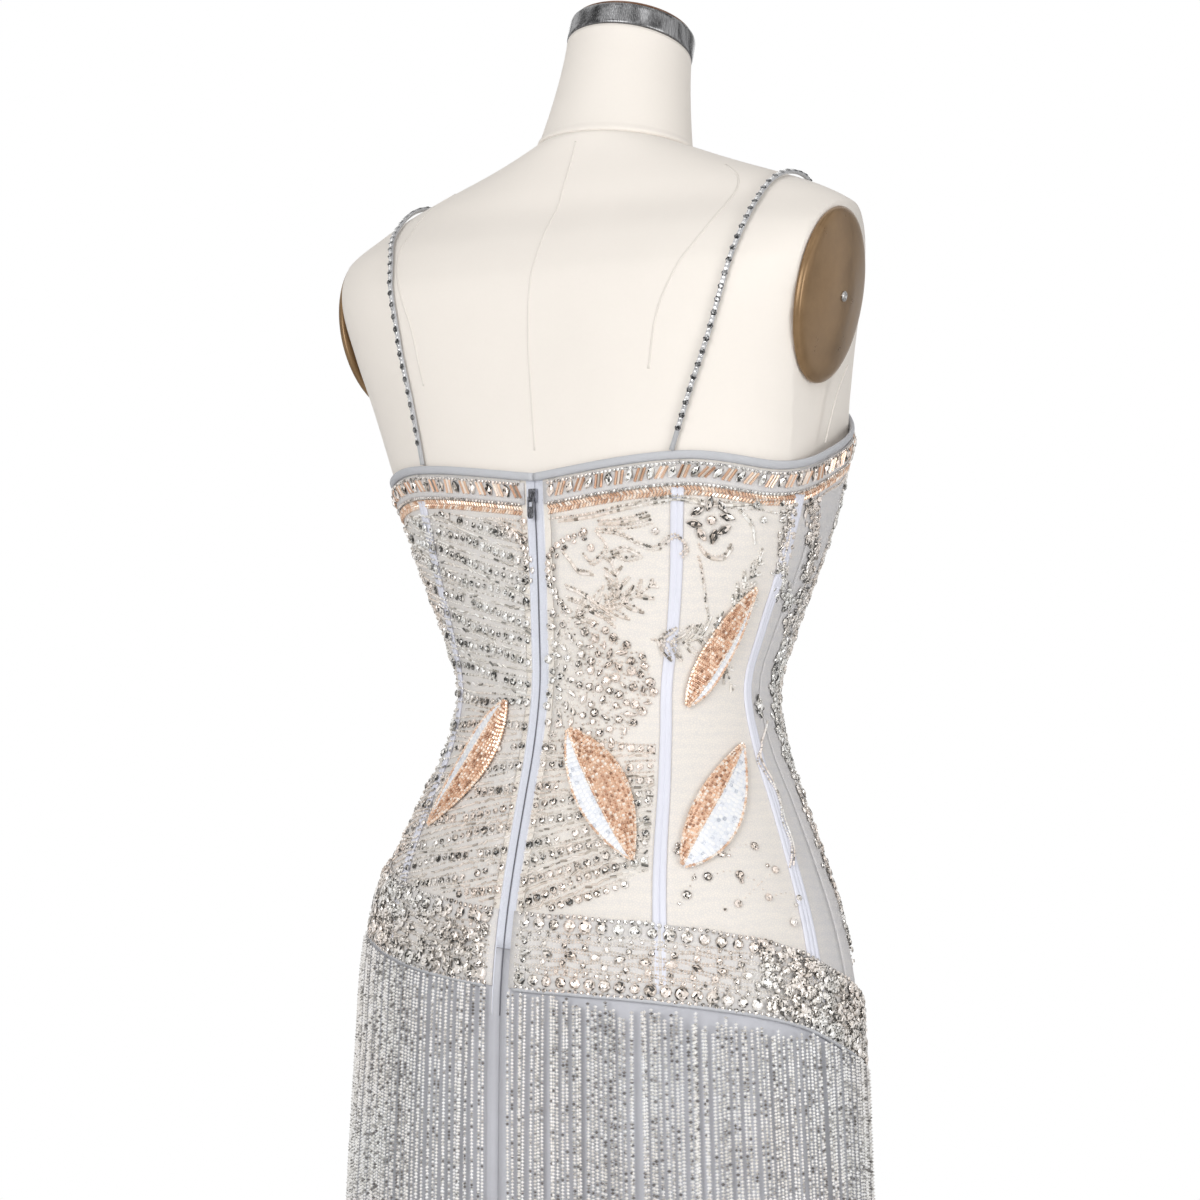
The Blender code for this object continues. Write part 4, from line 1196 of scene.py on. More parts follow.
def curved_rows(start, end, low, high, climbs, way, pitch, rng):
    """Rows of stones with rows of fine beads between them, as a list for each kind of bead."""
    groups = {"stone": [], "seed": [], "bugle": []}
    for index, height in enumerate(np.arange(low, high, pitch)):
        columns = np.linspace(start, end, 200)
        heights = row_heights(columns, height, climbs, way)
        heights = heights + 0.0012 * np.sin(columns * 1.7 + index)
        kind = ("stone", "seed", "bugle", "seed")[index % 4]
        gap, size = {
            "stone": (0.0064, (0.0027, 0.0027, 0.0024)),
            "seed": (0.0023, (0.0010, 0.0011, 0.0010)),
            "bugle": (0.0044, (0.0008, 0.0020, 0.0008)),
        }[kind]
        places, found = places_along(BODY, columns, heights, gap, over_bones, size, between(rng, 0.1, 0.85))
        sewn = within_bodice(found) & (rng.random(len(places.points)) > 0.04)
        places = resized(chosen(places, sewn), rng, 0.78, 1.2)
        groups[kind].append(spun(places, rng.normal(0.0, 0.25, len(places.points))))
    return groups


def scattered(count, inside, spacing, box, rng):
    """Random (column, height) pairs kept apart, inside a region."""
    kept = []
    for column, height in zip(rng.uniform(box[0], box[1], count), rng.uniform(box[2], box[3], count)):
        if not inside(column, height):
            continue
        gaps = (
            math.hypot((column - other[0]) * METRES_PER_COLUMN, height - other[1]) for other in kept
        )
        if all(gap > spacing for gap in gaps):
            kept.append((column, height))
    return np.array(kept)


def inside_outline(outline):
    """A test for (column, height) pairs inside a closed outline."""
    corners = list(zip(outline, outline[1:] + outline[:1]))

    def test(column, height):
        crossings = 0
        for (c1, h1), (c2, h2) in corners:
            if (h1 > height) != (h2 > height) and column < c1 + (height - h1) / (h2 - h1) * (c2 - c1):
                crossings += 1
        return crossings % 2 == 1

    return test


def line_of(groups, kind, points, gap, size, rng, tones=(0.15, 1.0), out=over_bones, table=BODY):
    """Add beads along a smooth line through (column, height) points."""
    columns, heights = drawn(points, 120)
    places, _ = places_along(table, columns, heights, gap, out, size, between(rng, *tones))
    groups[kind].append(resized(places, rng, 0.85, 1.15))


def sprig(groups, points, leaflets, reach, rng):
    """A stem of fine beads with paired leaflets of bugles and seeds."""
    columns, heights = drawn(points, 60)
    line_of(groups, "seed", points, 0.0021, (0.0011, 0.0011, 0.0011), rng, (0.0, 1.0))
    for index in range(leaflets):
        share = (index + 0.6) / leaflets
        at = int(share * 59)
        ahead = min(at + 2, 59)
        sideways = (columns[ahead] - columns[at - 2]) * METRES_PER_COLUMN
        run = np.array((sideways, heights[ahead] - heights[at - 2]))
        run = run / max(np.linalg.norm(run), 1e-9)
        for side in (-1.0, 1.0):
            lean = math.radians(42.0) * side
            way = np.array((
                run[0] * math.cos(lean) - run[1] * math.sin(lean),
                run[0] * math.sin(lean) + run[1] * math.cos(lean),
            ))
            length = reach * math.sin(math.pi * (0.25 + 0.7 * share)) * rng.uniform(0.85, 1.1)
            for bow in (-0.09, 0.09):
                side_way = np.array((-way[1], way[0]))
                middle = way * 0.5 * length + side_way * bow * length
                leaf = [
                    (columns[at] + step[0] / METRES_PER_COLUMN, heights[at] + step[1])
                    for step in (way * 0.0, middle, way * length)
                ]
                line_of(groups, "seed" if bow > 0 else "bugle", leaf, 0.0022 if bow > 0 else 0.0036,
                        (0.0010, 0.0011, 0.0010) if bow > 0 else (0.0009, 0.0017, 0.0009), rng, (0.0, 1.0))


def flower(groups, column, height, reach, petals, rng):
    """Marquise petals round a large stone."""
    angles = np.arange(petals) * 2.0 * math.pi / petals + 0.2
    size = (0.165 * reach, 0.34 * reach, 0.0026)
    middle = 0.62 * reach
    columns = column + np.sin(-angles) * middle / METRES_PER_COLUMN
    heights = height + np.cos(angles) * middle
    places = places_at(BODY, columns, heights, CLOTH_OUTER + 0.0012, size, rng.uniform(0.15, 0.55, petals))
    groups["marquise"].append(spun(places, -angles))
    core = places_at(BODY, [column], [height], CLOTH_OUTER + 0.0016, (0.0034, 0.0034, 0.0032), 0.8)
    groups["big_stone"].append(core)


def add_scatter(groups, kind, pairs, size, rng, tones=(0.2, 0.85), out=CLOTH_OUTER + 0.0010, table=BODY):
    """Add stones at (column, height) pairs, turned at random."""
    if not len(pairs):
        return
    places = places_at(table, pairs[:, 0], pairs[:, 1], out, size, rng.uniform(*tones, len(pairs)))
    places = resized(places, rng, 0.8, 1.2)
    groups[kind].append(spun(places, rng.uniform(0.0, 2.0 * math.pi, len(pairs))))


def place_groups(prefix, groups, finishes, slot="beads"):
    """Make one piece of each group of beads."""
    # How far each face's tone strays at random: painted glints on the facets
    facets = {"stone": 0.36, "big_stone": 0.40, "marquise": 0.42, "pear": 0.40, "sequin": 0.1}
    for order, (kind, items) in enumerate(groups.items()):
        if not items:
            continue
        name = f"{prefix}_{kind}s"
        finish = finishes.get(kind, "crystal")
        piece = repeated(name, kind, merged(items), finish, facets.get(kind, 0.12), seed=order + 3)
        settle(piece, slot)


def empty_groups():
    """A list for each kind of bead."""
    return {"stone": [], "big_stone": [], "marquise": [], "pear": [], "seed": [], "bugle": []}


FINE = {"seed": "clear_beads", "bugle": "clear_beads"}
FIELD_OUTLINE = [
    (0.27, 1.092), (1.2, 1.090), (2.2, 1.073), (3.3, 1.056), (3.6, 1.032), (3.0, 1.014), (2.5, 1.0),
    (0.5, 0.996), (0.27, 1.02),
]


class GOWN_OT_bodice_rows(bpy.types.Operator):
    """Sew the curved rows of stones and fine beads on the bodice"""

    bl_idname = "gown.bodice_rows"
    bl_label = "Bodice Rows"

    def execute(self, context):
        rng = np.random.default_rng(11)
        left = curved_rows(39.74, 12.4, 0.822, 1.25, ROW_CLIMB_LEFT, COLUMNS, 0.0034, rng)
        right = curved_rows(0.26, 3.7, 0.876, 1.004, ROW_CLIMB_RIGHT, 0.0, 0.0034, rng)
        groups = empty_groups()
        for kind in ("stone", "seed", "bugle"):
            groups[kind] = left[kind] + right[kind]
        place_groups("row", groups, FINE)
        return {"FINISHED"}


class GOWN_OT_bodice_motifs(bpy.types.Operator):
    """Sew the stone field, scrolls, flowers, vine and sprigs on the bodice"""

    bl_idname = "gown.bodice_motifs"
    bl_label = "Bodice Motifs"

    def execute(self, context):
        rng = np.random.default_rng(23)
        groups = empty_groups()
        self.sew_field(groups, rng)
        self.sew_scrolls(groups, rng)
        self.sew_vine(groups, rng)
        for stem, leaflets, reach in (
            ([(0.9, 1.084), (1.7, 1.091), (2.6, 1.096), (3.4, 1.108)], 6, 0.019),
            ([(3.3, 1.070), (4.5, 1.068), (6.0, 1.079), (7.6, 1.098)], 8, 0.021),
            ([(5.6, 1.078), (6.2, 1.062), (7.3, 1.036)], 5, 0.016),
            ([(2.0, 1.086), (2.3, 1.104), (2.1, 1.126)], 5, 0.013),
            ([(6.3, 1.086), (6.6, 1.104), (7.2, 1.124)], 5, 0.014),
        ):
            sprig(groups, stem, leaflets, reach, rng)
        flower(groups, 5.02, 1.149, 0.0180, 8, rng)
        flower(groups, 9.58, 1.026, 0.0095, 6, rng)
        place_groups("motif", groups, FINE)
        return {"FINISHED"}

    def sew_field(self, groups, rng):
        """Mixed stones right of the zip, packed with fine beads."""
        inside = inside_outline(FIELD_OUTLINE)
        box = (0.2, 3.7, 0.99, 1.10)
        pairs = scattered(3500, inside, 0.0060, box, rng)
        kinds = rng.random(len(pairs))
        add_scatter(groups, "big_stone", pairs[kinds < 0.5], (0.0029, 0.0029, 0.0027), rng)
        add_scatter(groups, "pear", pairs[(kinds >= 0.5) & (kinds < 0.7)], (0.0023, 0.0036, 0.0026), rng)
        add_scatter(groups, "marquise", pairs[kinds >= 0.7], (0.0017, 0.0040, 0.0024), rng)
        add_scatter(groups, "seed", scattered(2600, inside, 0.0024, box, rng), (0.0009,) * 3, rng)

    def sew_scrolls(self, groups, rng):
        """Scrolls of stones beside the zip and finer ones over the net."""
        for lines in (
            ((1.42, 1.142), (0.84, 1.138), (0.40, 1.129), (0.32, 1.116), (0.44, 1.103), (0.86, 1.090)),
            ((38.46, 1.146), (38.98, 1.149), (39.4, 1.142), (39.62, 1.131), (39.66, 1.116), (39.3, 1.106)),
        ):
            line_of(groups, "stone", lines, 0.0047, (0.0024, 0.0024, 0.0024), rng)
            line_of(groups, "pear", shifted(lines, 0.16, -0.003), 0.0075, (0.0016, 0.0026, 0.0020), rng)
        fine = (
            [(0.62, 1.153), (1.58, 1.155), (2.6, 1.160), (3.9, 1.165), (5.12, 1.161), (7.3, 1.164)],
            [(1.72, 1.144), (2.0, 1.133), (1.6, 1.123), (1.34, 1.129)],
            [(2.12, 1.129), (2.54, 1.132), (2.96, 1.127)],
            [(2.12, 1.129), (2.54, 1.125), (2.96, 1.127)],
            [(0.72, 1.132), (0.95, 1.125), (1.16, 1.118), (1.58, 1.116)],
            [
                (1.74, 1.145), (2.4, 1.142), (2.9, 1.135), (3.4, 1.132), (3.92, 1.140), (4.28, 1.132),
                (4.1, 1.126),
            ],
            [(4.64, 1.134), (4.96, 1.127), (5.5, 1.126), (5.78, 1.134)],
            [(4.66, 1.126), (4.86, 1.112), (5.08, 1.095), (5.3, 1.084)],
            [(5.82, 1.158), (6.42, 1.148), (6.66, 1.136)],
            [(7.12, 1.132), (7.0, 1.126), (6.78, 1.122)],
            [(1.8, 1.150), (2.5, 1.151), (3.2, 1.155)],
            [(2.0, 1.147), (2.7, 1.147), (3.3, 1.150)],
            [(0.8, 1.108), (1.3, 1.102), (2.0, 1.090)],
            [(0.8, 1.100), (1.4, 1.094), (2.2, 1.080)],
        )
        for index, line in enumerate(fine):
            line_of(groups, "seed", line, 0.0022, (0.0011, 0.0012, 0.0011), rng, (0.0, 1.0))
            beside = shifted(line, 0.06, -0.0024)
            line_of(groups, "seed" if index % 2 else "bugle", beside, 0.0026, (0.0010, 0.0014, 0.0010), rng)
        for column, height in ((1.42, 1.143), (3.4, 1.142), (1.6, 1.132), (6.5, 1.160), (6.9, 1.150)):
            add_scatter(groups, "big_stone", np.array([(column, height)]), (0.0031, 0.0031, 0.0028), rng)

    def sew_vine(self, groups, rng):
        """A vine of stone clusters down the right side, and stones on threads below."""
        vine = [(7.9, 1.160), (8.3, 1.143), (8.4, 1.120), (9.2, 1.104), (10.6, 1.092), (11.4, 1.070),
                (11.6, 1.050), (12.0, 1.030)]
        tail = [(10.2, 1.014), (8.9, 1.000), (8.2, 0.990), (8.4, 0.978), (8.8, 0.964), (8.5, 0.948),
                (8.6, 0.932), (8.2, 0.916)]
        side = [(9.6, 1.165), (10.4, 1.140), (11.2, 1.115), (11.9, 1.085)]
        low_side = [(12.0, 1.030), (11.7, 0.990), (11.4, 0.950), (11.6, 0.905), (12.0, 0.860)]
        for line, width in ((vine, 0.006), (side, 0.007), (low_side, 0.008)):
            columns, heights = drawn(line, 60)
            for at in range(0, 60, 2):
                centre = np.array([(columns[at], heights[at])])
                shift = rng.normal(0.0, width, (3, 2)) / (METRES_PER_COLUMN, 1.0) * 0.7
                add_scatter(groups, "stone", centre + shift, (0.0022,) * 3, rng)
                shift = rng.normal(0.0, width, (2, 2)) / (METRES_PER_COLUMN, 1.0)
                add_scatter(groups, "marquise", centre + shift, (0.0014, 0.0033, 0.0020), rng)
            line_of(groups, "seed", line, 0.0021, (0.0010,) * 3, rng)
        line_of(groups, "seed", tail, 0.0020, (0.0010,) * 3, rng)
        line_of(groups, "bugle", shifted(tail, 0.2, 0.002), 0.0030, (0.0008, 0.0014, 0.0008), rng)
        loose = np.array((
            (4.46, 0.928), (5.74, 0.926), (6.92, 0.931), (5.28, 0.911), (6.24, 0.912), (7.12, 0.897),
            (8.34, 0.896), (5.2, 0.937), (4.7, 0.899), (7.6, 0.915), (6.1, 0.893), (7.9, 0.880),
        ))
        add_scatter(groups, "big_stone", loose, (0.0027,) * 3, rng)
        small = loose + rng.normal(0.0, 1.0, loose.shape) * (0.35, 0.006)
        add_scatter(groups, "stone", small, (0.0014,) * 3, rng)
        for low, high in zip(loose[:-1], loose[1:]):
            if abs(low[0] - high[0]) < 1.6:
                line_of(groups, "seed", [tuple(low), tuple(0.5 * (low + high) + (0.1, 0.003)), tuple(high)],
                        0.0042, (0.0006,) * 3, rng)


class GOWN_OT_neckline(bpy.types.Operator):
    """Sew the beaded band under the top binding"""

    bl_idname = "gown.neckline"
    bl_label = "Neckline Band"

    def execute(self, context):
        rng = np.random.default_rng(31)
        start = 0.30
        end = COLUMNS - start
        _, _, points = panel_points(
            BODY, start, end, lambda columns: top_edge(columns) - NECK_BAND_DROP - NECK_BAND_HEIGHT,
            lambda columns: top_edge(columns) - NECK_BAND_DROP, TRIM_OUTER - 0.0006, 0.25, 7,
        )
        backing = keep("neckline_tape", laid_grid(points, np.full(points.shape[:2], 0.4)), "lavender_net")
        add_thickness(backing, 0.0010)
        settle(backing, "beads", "neckline_band")
        groups = {"marquise": [], "stone": [], "seed": [], "bugle": []}
        copper = {"bugle": [], "round_seed": []}
        columns = np.linspace(start + 0.1, end - 0.1, 900)
        middle = top_edge(columns) - 0.0085
        places, found = places_along(
            BODY, columns, middle, 0.0074, TRIM_OUTER, (0.0031, 0.0052, 0.0034), between(rng, 0.25, 0.70),
        )
        lean = np.where(np.mod(found[0], COLUMNS) < COLUMNS / 2, -1.0, 1.0)
        order = np.arange(len(places.points))
        stones = order % 2 == 0
        tilted = spun(places, math.pi / 2.0 + lean * math.radians(28.0) + rng.normal(0.0, 0.12, len(order)))
        groups["marquise"].append(chosen(tilted, stones))
        for shift in (-0.0022, 0.0, 0.0022):
            rods = tilted._replace(
                points=tilted.points + places.along * shift,
                sizes=np.broadcast_to((0.0009, 0.0048, 0.0010), tilted.sizes.shape),
            )
            target = groups if shift == 0.0 else copper
            target["bugle"].append(chosen(rods, ~stones))
        for drop, size, gap in ((0.0012, 0.0013, 0.0030), (0.0150, 0.0011, 0.0028)):
            row, _ = places_along(
                BODY, columns, top_edge(columns) - NECK_BAND_DROP - drop, gap, TRIM_OUTER, (size,) * 3,
                between(rng, 0.2, 1.0),
            )
            groups["stone"].append(row)
        for drop, turn in ((0.0195, 0.62), (0.0228, -0.62)):
            row, _ = places_along(
                BODY, columns, top_edge(columns) - drop, 0.0023, CLOTH_OUTER + 0.0007,
                (0.0010, 0.0023, 0.0011), between(rng, 0.3, 0.95),
            )
            copper["round_seed"].append(spun(row, math.pi / 2.0 + turn))
        irregular = top_edge(columns) - 0.0285 + 0.0009 * np.sin(columns * 3.1)
        row, _ = places_along(
            BODY, columns, irregular, 0.0024, CLOTH_OUTER + 0.0006, (0.0010,) * 3, between(rng, 0.1, 1.0),
        )
        groups["seed"].append(row)
        place_groups("neckline", groups, FINE)
        place_groups("neckline_copper", copper, dict.fromkeys(copper, "copper_beads"), "copper")
        return {"FINISHED"}


class GOWN_OT_hip_band(bpy.types.Operator):
    """Sew the stone-covered band round the hips"""

    bl_idname = "gown.hip_band"
    bl_label = "Hip Band"

    def execute(self, context):
        rng = np.random.default_rng(41)
        start = 0.24
        end = COLUMNS - start
        _, heights, points = panel_points(
            SKIRT, start, end, lambda columns: band_top(columns) - BAND_HEIGHT, band_top, TRIM_OUTER - 0.0004,
            0.25, 14,
        )
        backing = keep("hip_band_tulle", laid_grid(points, np.full(heights.shape, 0.3)), "lavender_net")
        add_thickness(backing, CLOTH_THICKNESS)
        settle(backing, "beads", "hip_band")
        groups = empty_groups()
        columns = np.linspace(start + 0.12, end - 0.12, 1200)
        top = band_top(columns)

        def row(kind, drop, gap, size, wave=0.0, beats=4.0, turn=0.0):
            heights = top - drop + wave * np.sin(columns * beats)
            places, _ = places_along(SKIRT, columns, heights, gap, TRIM_OUTER, size, between(rng, 0.2, 0.85))
            places = resized(places, rng, 0.85, 1.15)
            groups[kind].append(spun(places, turn + rng.normal(0.0, 0.15, len(places.points))))

        row("big_stone", 0.0068, 0.0112, (0.0043, 0.0043, 0.0036))
        row("big_stone", 0.0444, 0.0100, (0.0043, 0.0043, 0.0036))
        row("stone", 0.0012, 0.0044, (0.0017,) * 3, 0.0005)
        row("stone", 0.0503, 0.0044, (0.0017,) * 3, 0.0005)
        row("marquise", 0.0262, 0.0165, (0.0029, 0.0047, 0.0032))
        row("stone", 0.0196, 0.0150, (0.0024,) * 3, 0.0009, 11.0)
        row("stone", 0.0322, 0.0150, (0.0024,) * 3, 0.0009, 13.0)
        row("stone", 0.0136, 0.0072, (0.0015,) * 3, 0.0008, 7.0)
        row("stone", 0.0378, 0.0072, (0.0015,) * 3, 0.0008, 9.0)
        for drop in (0.0118, 0.0158, 0.0176, 0.0222, 0.0242, 0.0284, 0.0302, 0.0344, 0.0362, 0.0396):
            row("seed", drop, 0.0023, (0.0009, 0.0011, 0.0009), 0.0006, 5.0 + drop * 100.0)
        self.pack_sides(groups, rng)
        cord_points, _, _, outward = frames_on(
            SKIRT, columns[::3], top[::3] - BAND_HEIGHT - 0.0006, TRIM_INNER + 0.0014,
        )
        build("hip_band_cord", tube(cord_points, outward, 0.0013, 8), "grey_binding", "binding")
        place_groups("band", groups, FINE)
        return {"FINISHED"}

    def pack_sides(self, groups, rng):
        """More stones where the band turns round the hips."""
        for low, high, count in ((6.6, 14.0, 430), (26.0, 36.5, 520), (36.5, 39.6, 95)):
            pairs = np.column_stack((rng.uniform(low, high, count), rng.uniform(0.003, 0.048, count)))
            pairs[:, 1] = band_top(pairs[:, 0]) - pairs[:, 1]
            kinds = rng.random(len(pairs))
            add_scatter(groups, "big_stone", pairs[kinds < 0.6], (0.0029,) * 3, rng, out=TRIM_OUTER + 0.0014,
                        table=SKIRT)
            add_scatter(groups, "pear", pairs[kinds >= 0.6], (0.0022, 0.0038, 0.0026), rng,
                        out=TRIM_OUTER + 0.0018, table=SKIRT)


Leaf = namedtuple("Leaf", "name start_column start_z end_column end_z bend half_width vein")

LEAVES = (
    Leaf("leaf_copper_right", 1.05, 1.010, 3.30, 0.922, 0.35, 0.017, -0.30),
    Leaf("leaf_white_right", 4.60, 0.918, 7.40, 1.000, -0.40, 0.019, 0.25),
    Leaf("leaf_copper_side", 4.75, 1.025, 7.20, 1.105, 0.30, 0.015, -0.45),
    Leaf("leaf_copper_left", 38.9, 1.030, 36.6, 0.945, 0.35, 0.015, -0.40),
)


def leaf_lines(leaf, shares, steps):
    """Columns and heights of a leaf: along its length by share, across it by step."""
    middle_z = 0.5 * (leaf.start_z + leaf.end_z)
    ends = surface(BODY, np.array((2.0, 3.0)), middle_z, 0.0)
    column_width = float(np.linalg.norm(ends[1] - ends[0]))
    run = (leaf.end_column - leaf.start_column) * column_width
    rise = leaf.end_z - leaf.start_z
    length = math.hypot(run, rise)
    arch = np.sin(math.pi * shares)
    width = leaf.half_width * np.maximum(arch ** 0.75, 0.09) * (1.15 - 0.3 * shares)
    centre_column = leaf.start_column + (leaf.end_column - leaf.start_column) * shares
    centre_column = centre_column + leaf.bend * arch * 0.35
    centre_z = leaf.start_z + rise * shares
    columns = centre_column - steps * width * rise / length / column_width
    heights = centre_z + steps * width * run / length
    return columns, heights


class GOWN_OT_leaves(bpy.types.Operator):
    """Lay the large two-tone leaves on the bodice"""

    bl_idname = "gown.leaves"
    bl_label = "Leaves"

    def execute(self, context):
        for index, leaf in enumerate(LEAVES):
            rng = np.random.default_rng(50 + index)
            vein = leaf.vein
            for word, low, high in (("copper", vein, 1.0), ("white", -1.0, vein)):
                steps = np.linspace(low, high, 9)[None, :]
                columns, heights = leaf_lines(leaf, np.linspace(0.0, 1.0, 41)[:, None], steps)
                ground = surface(BODY, columns, heights, TRIM_INNER + 0.0010)
                finish = "copper_beads" if word == "copper" else "white_sequins"
                tones = np.full(columns.shape, 0.55 if word == "copper" else 0.4)
                patch = add_thickness(keep(f"{leaf.name}_{word}", laid_grid(ground, tones), finish), 0.0009)
                slot = "copper" if word == "copper" else "beads"
                settle(patch, slot, *((leaf.name,) if word == "copper" else ()))
                self.cover(leaf, word, (low, high), finish, slot, rng)
            self.edge(leaf, rng)
        return {"FINISHED"}

    def cover(self, leaf, word, span, finish, slot, rng):
        """Cover one side of a leaf with rows of copper beads or white sequins."""
        spread, gap, size, kind = {
            "copper": (0.0029, 0.0027, (0.0013, 0.0014, 0.0013), "round_seed"),
            "white": (0.0034, 0.0034, (0.0017, 0.0017, 0.0008), "sequin"),
        }[word]
        count = max(int(round(leaf.half_width * (span[1] - span[0]) / spread)), 2)
        margin = 0.5 * (span[1] - span[0]) / count
        rows = []
        for step in np.linspace(span[0] + margin, span[1] - margin, count):
            columns, heights = leaf_lines(leaf, np.linspace(0.03, 0.97, 60), np.full(60, step))
            row, _ = places_along(
                BODY, columns, heights, gap, TRIM_INNER + 0.0021, size,
                lambda number: rng.uniform(0.0, 1.0, number) ** 0.7,
            )
            rows.append(row)
        piece = repeated(f"{leaf.name}_{word}_beads", kind, merged(rows), finish, 0.1, seed=7)
        settle(piece, slot)

    def edge(self, leaf, rng):
        """Edge a leaf and its vein with a line of copper beads."""
        edges = []
        for step in (-1.0, 1.0, leaf.vein):
            columns, heights = leaf_lines(leaf, np.linspace(0.0, 1.0, 60), np.full(60, step))
            row, _ = places_along(
                BODY, columns, heights, 0.0024, TRIM_INNER + 0.0024, (0.0011, 0.0014, 0.0012),
                between(rng, 0.45, 1.0),
            )
            edges.append(row)
        piece = repeated(leaf.name + "_edge", "round_seed", merged(edges), "copper_beads", 0.08, seed=8)
        settle(piece, "copper")


class GOWN_OT_fringe(bpy.types.Operator):
    """Hang the strands of fine beads from the hip band"""

    bl_idname = "gown.fringe"
    bl_label = "Bead Fringe"

    def execute(self, context):
        sizes = context.scene.gown_sizes
        rng = np.random.default_rng(61)
        start = 0.36
        spaced = self.strand_columns(start, COLUMNS - start, sizes.strand_pitch)
        count = len(spaced)
        strands = {
            "column": spaced + rng.normal(0.0, 0.028, count),
            "phase": rng.uniform(0.0, 2.0 * math.pi, count),
            "out": rng.uniform(-0.0006, 0.0006, count),
            "tone": rng.normal(0.0, 0.09, count),
            "end": FRINGE_END + rng.uniform(0.0, 0.008, count),
            "change": sizes.fine_end + rng.normal(0.0, 0.008, count),
        }
        bare = np.exp(-(((spaced - 5.0) / 3.4) ** 2))
        strands["drop"] = 0.0010 + bare * rng.uniform(0.002, 0.016, count)
        for word, low, high in (("right", 0.0, 20.0), ("left", 20.0, 40.0)):
            self.hang(f"fringe_upper_{word}", strands, (low, high), None, "change", FINE_BEAD, rng)
        thirds = (("right", 0.0, 13.4), ("front", 13.4, 26.7), ("left", 26.7, 40.0))
        for word, low, high in thirds:
            self.hang(f"fringe_lower_{word}", strands, (low, high), "change", "end", sizes.coarse_bead, rng)
        return {"FINISHED"}

    def strand_columns(self, start, end, pitch):
        """Columns of strands evenly spaced round the hips."""
        columns = np.linspace(start, end, 2000)
        run = distance_along(surface(HANG, columns, 0.80, TRIM_OUTER))
        return np.interp(np.arange(0.0, run[-1], pitch), run, columns)

    def hang(self, name, strands, span, high, low, pitch, rng):
        """One piece of strands between two heights: from the hip band where no upper height is named."""
        mine = (strands["column"] >= span[0]) & (strands["column"] < span[1])
        part = {key: value[mine] for key, value in strands.items()}
        root = band_top(part["column"]) - BAND_HEIGHT - part["drop"]
        tops = root if high is None else part[high]
        ends = part[low]
        counts = ((tops - ends) / pitch).astype(int)
        strand = np.repeat(np.arange(len(counts)), counts)
        order = np.arange(counts.sum()) - np.repeat(np.cumsum(counts) - counts, counts)
        heights = tops[strand] - (order + 0.5) * pitch
        sway = 0.035 * np.sin(heights * 9.0 + part["phase"][strand])
        columns = part["column"][strand] + sway
        out = TRIM_OUTER + 0.0030 + part["out"][strand]
        points, across, up, outward = frames_on(HANG, columns, heights, out)
        wide = STRAND_RADIUS * rng.uniform(0.88, 1.1, len(points))
        sizes = np.stack((wide, np.full(len(points), 0.49 * pitch), wide), axis=1)
        # Each bead's tone strays at random, most on the fine upper beads: painted glints on the silver beads
        spread = 0.32 if high is None else 0.18
        tones = 0.54 + part["tone"][strand] + rng.normal(0.0, spread, len(points))
        places = Places(points, across, up, outward, sizes, tones)
        piece = repeated(name, "seed", places, "fringe_beads", 0.12, seed=9)
        settle(piece, "beads", "bead_fringe")


# Distance out from the centre back, then Y and Z: the wearer's left strap, then the right one
STRAP_FRONT = (
    (0.148, -0.022, 1.388), (0.141, -0.052, 1.362), (0.130, -0.080, 1.322), (0.116, -0.105, 1.285),
    (0.105, -0.105, 1.2570),
)
STRAP_PATHS = {
    "left": (
        (0.0985, 0.095, 1.1962), (0.103, 0.104, 1.238), (0.1085, 0.108, 1.272), (0.1165, 0.107, 1.310),
        (0.129, 0.093, 1.342), (0.147, 0.060, 1.368), (0.151, 0.020, 1.392),
    ) + STRAP_FRONT,
    "right": (
        (0.102, 0.093, 1.1963), (0.119, 0.0985, 1.235), (0.135, 0.101, 1.272), (0.1475, 0.099, 1.312),
        (0.1525, 0.083, 1.345), (0.1505, 0.050, 1.376), (0.151, 0.012, 1.389),
    ) + STRAP_FRONT,
}


class GOWN_OT_straps(bpy.types.Operator):
    """Lay the two mesh straps with their sequins over the shoulders"""

    bl_idname = "gown.straps"
    bl_label = "Straps"

    def execute(self, context):
        torso = bpy.data.objects["dress_form_torso"]
        tree = BVHTree.FromPolygons(
            [vert.co.copy() for vert in torso.data.vertices],
            [tuple(face.vertices) for face in torso.data.polygons],
        )
        radius = 0.0017
        clear = radius + 0.0012
        for side, word in ((1.0, "left"), (-1.0, "right")):
            centres = drawn(STRAP_PATHS[word], 240).T
            centres[:, 0] *= side
            outward = []
            for index, centre in enumerate(centres):
                placed = Vector(centre)
                for _ in range(3):
                    near, normal, _, _ = tree.find_nearest(placed)
                    away = placed - near
                    away = away.normalized() if away.dot(normal) > 0 else normal
                    placed = near + away * clear
                centres[index] = placed
                outward.append(away)
            outward = np.array(outward)
            shape = tube(centres, outward, radius, 14, 0.85)
            build("mesh_strap_" + word, shape, "grey_mesh", "strap", "strap_" + word)
            self.add_sequins(word, centres, outward, radius)
        return {"FINISHED"}

    def add_sequins(self, word, centres, outward, radius):
        """Sequins and small stones, by turns white, grey and black."""
        run = distance_along(centres)
        at = np.arange(0.016, run[-1] - 0.014, 0.0030)
        points = np.stack([np.interp(at, run, centres[:, axis]) for axis in range(3)], axis=1)
        out = unit(np.stack([np.interp(at, run, outward[:, axis]) for axis in range(3)], axis=1))
        along = unit(np.gradient(points, axis=0))
        order = np.arange(len(at))
        wide = np.where(order % 3 == 0, 0.0023, 0.0014)
        sizes = np.stack((wide, wide, np.full(len(at), 0.0016)), axis=1)
        tones = np.array((0.10, 0.85, 0.62))[order % 3]
        places = Places(points + out * radius * 0.8, unit(np.cross(along, out)), along, out, sizes, tones)
        piece = repeated("strap_sequins_" + word, "sequin", places, "strap_sequins", 0.22, seed=12)
        settle(piece, "strap")


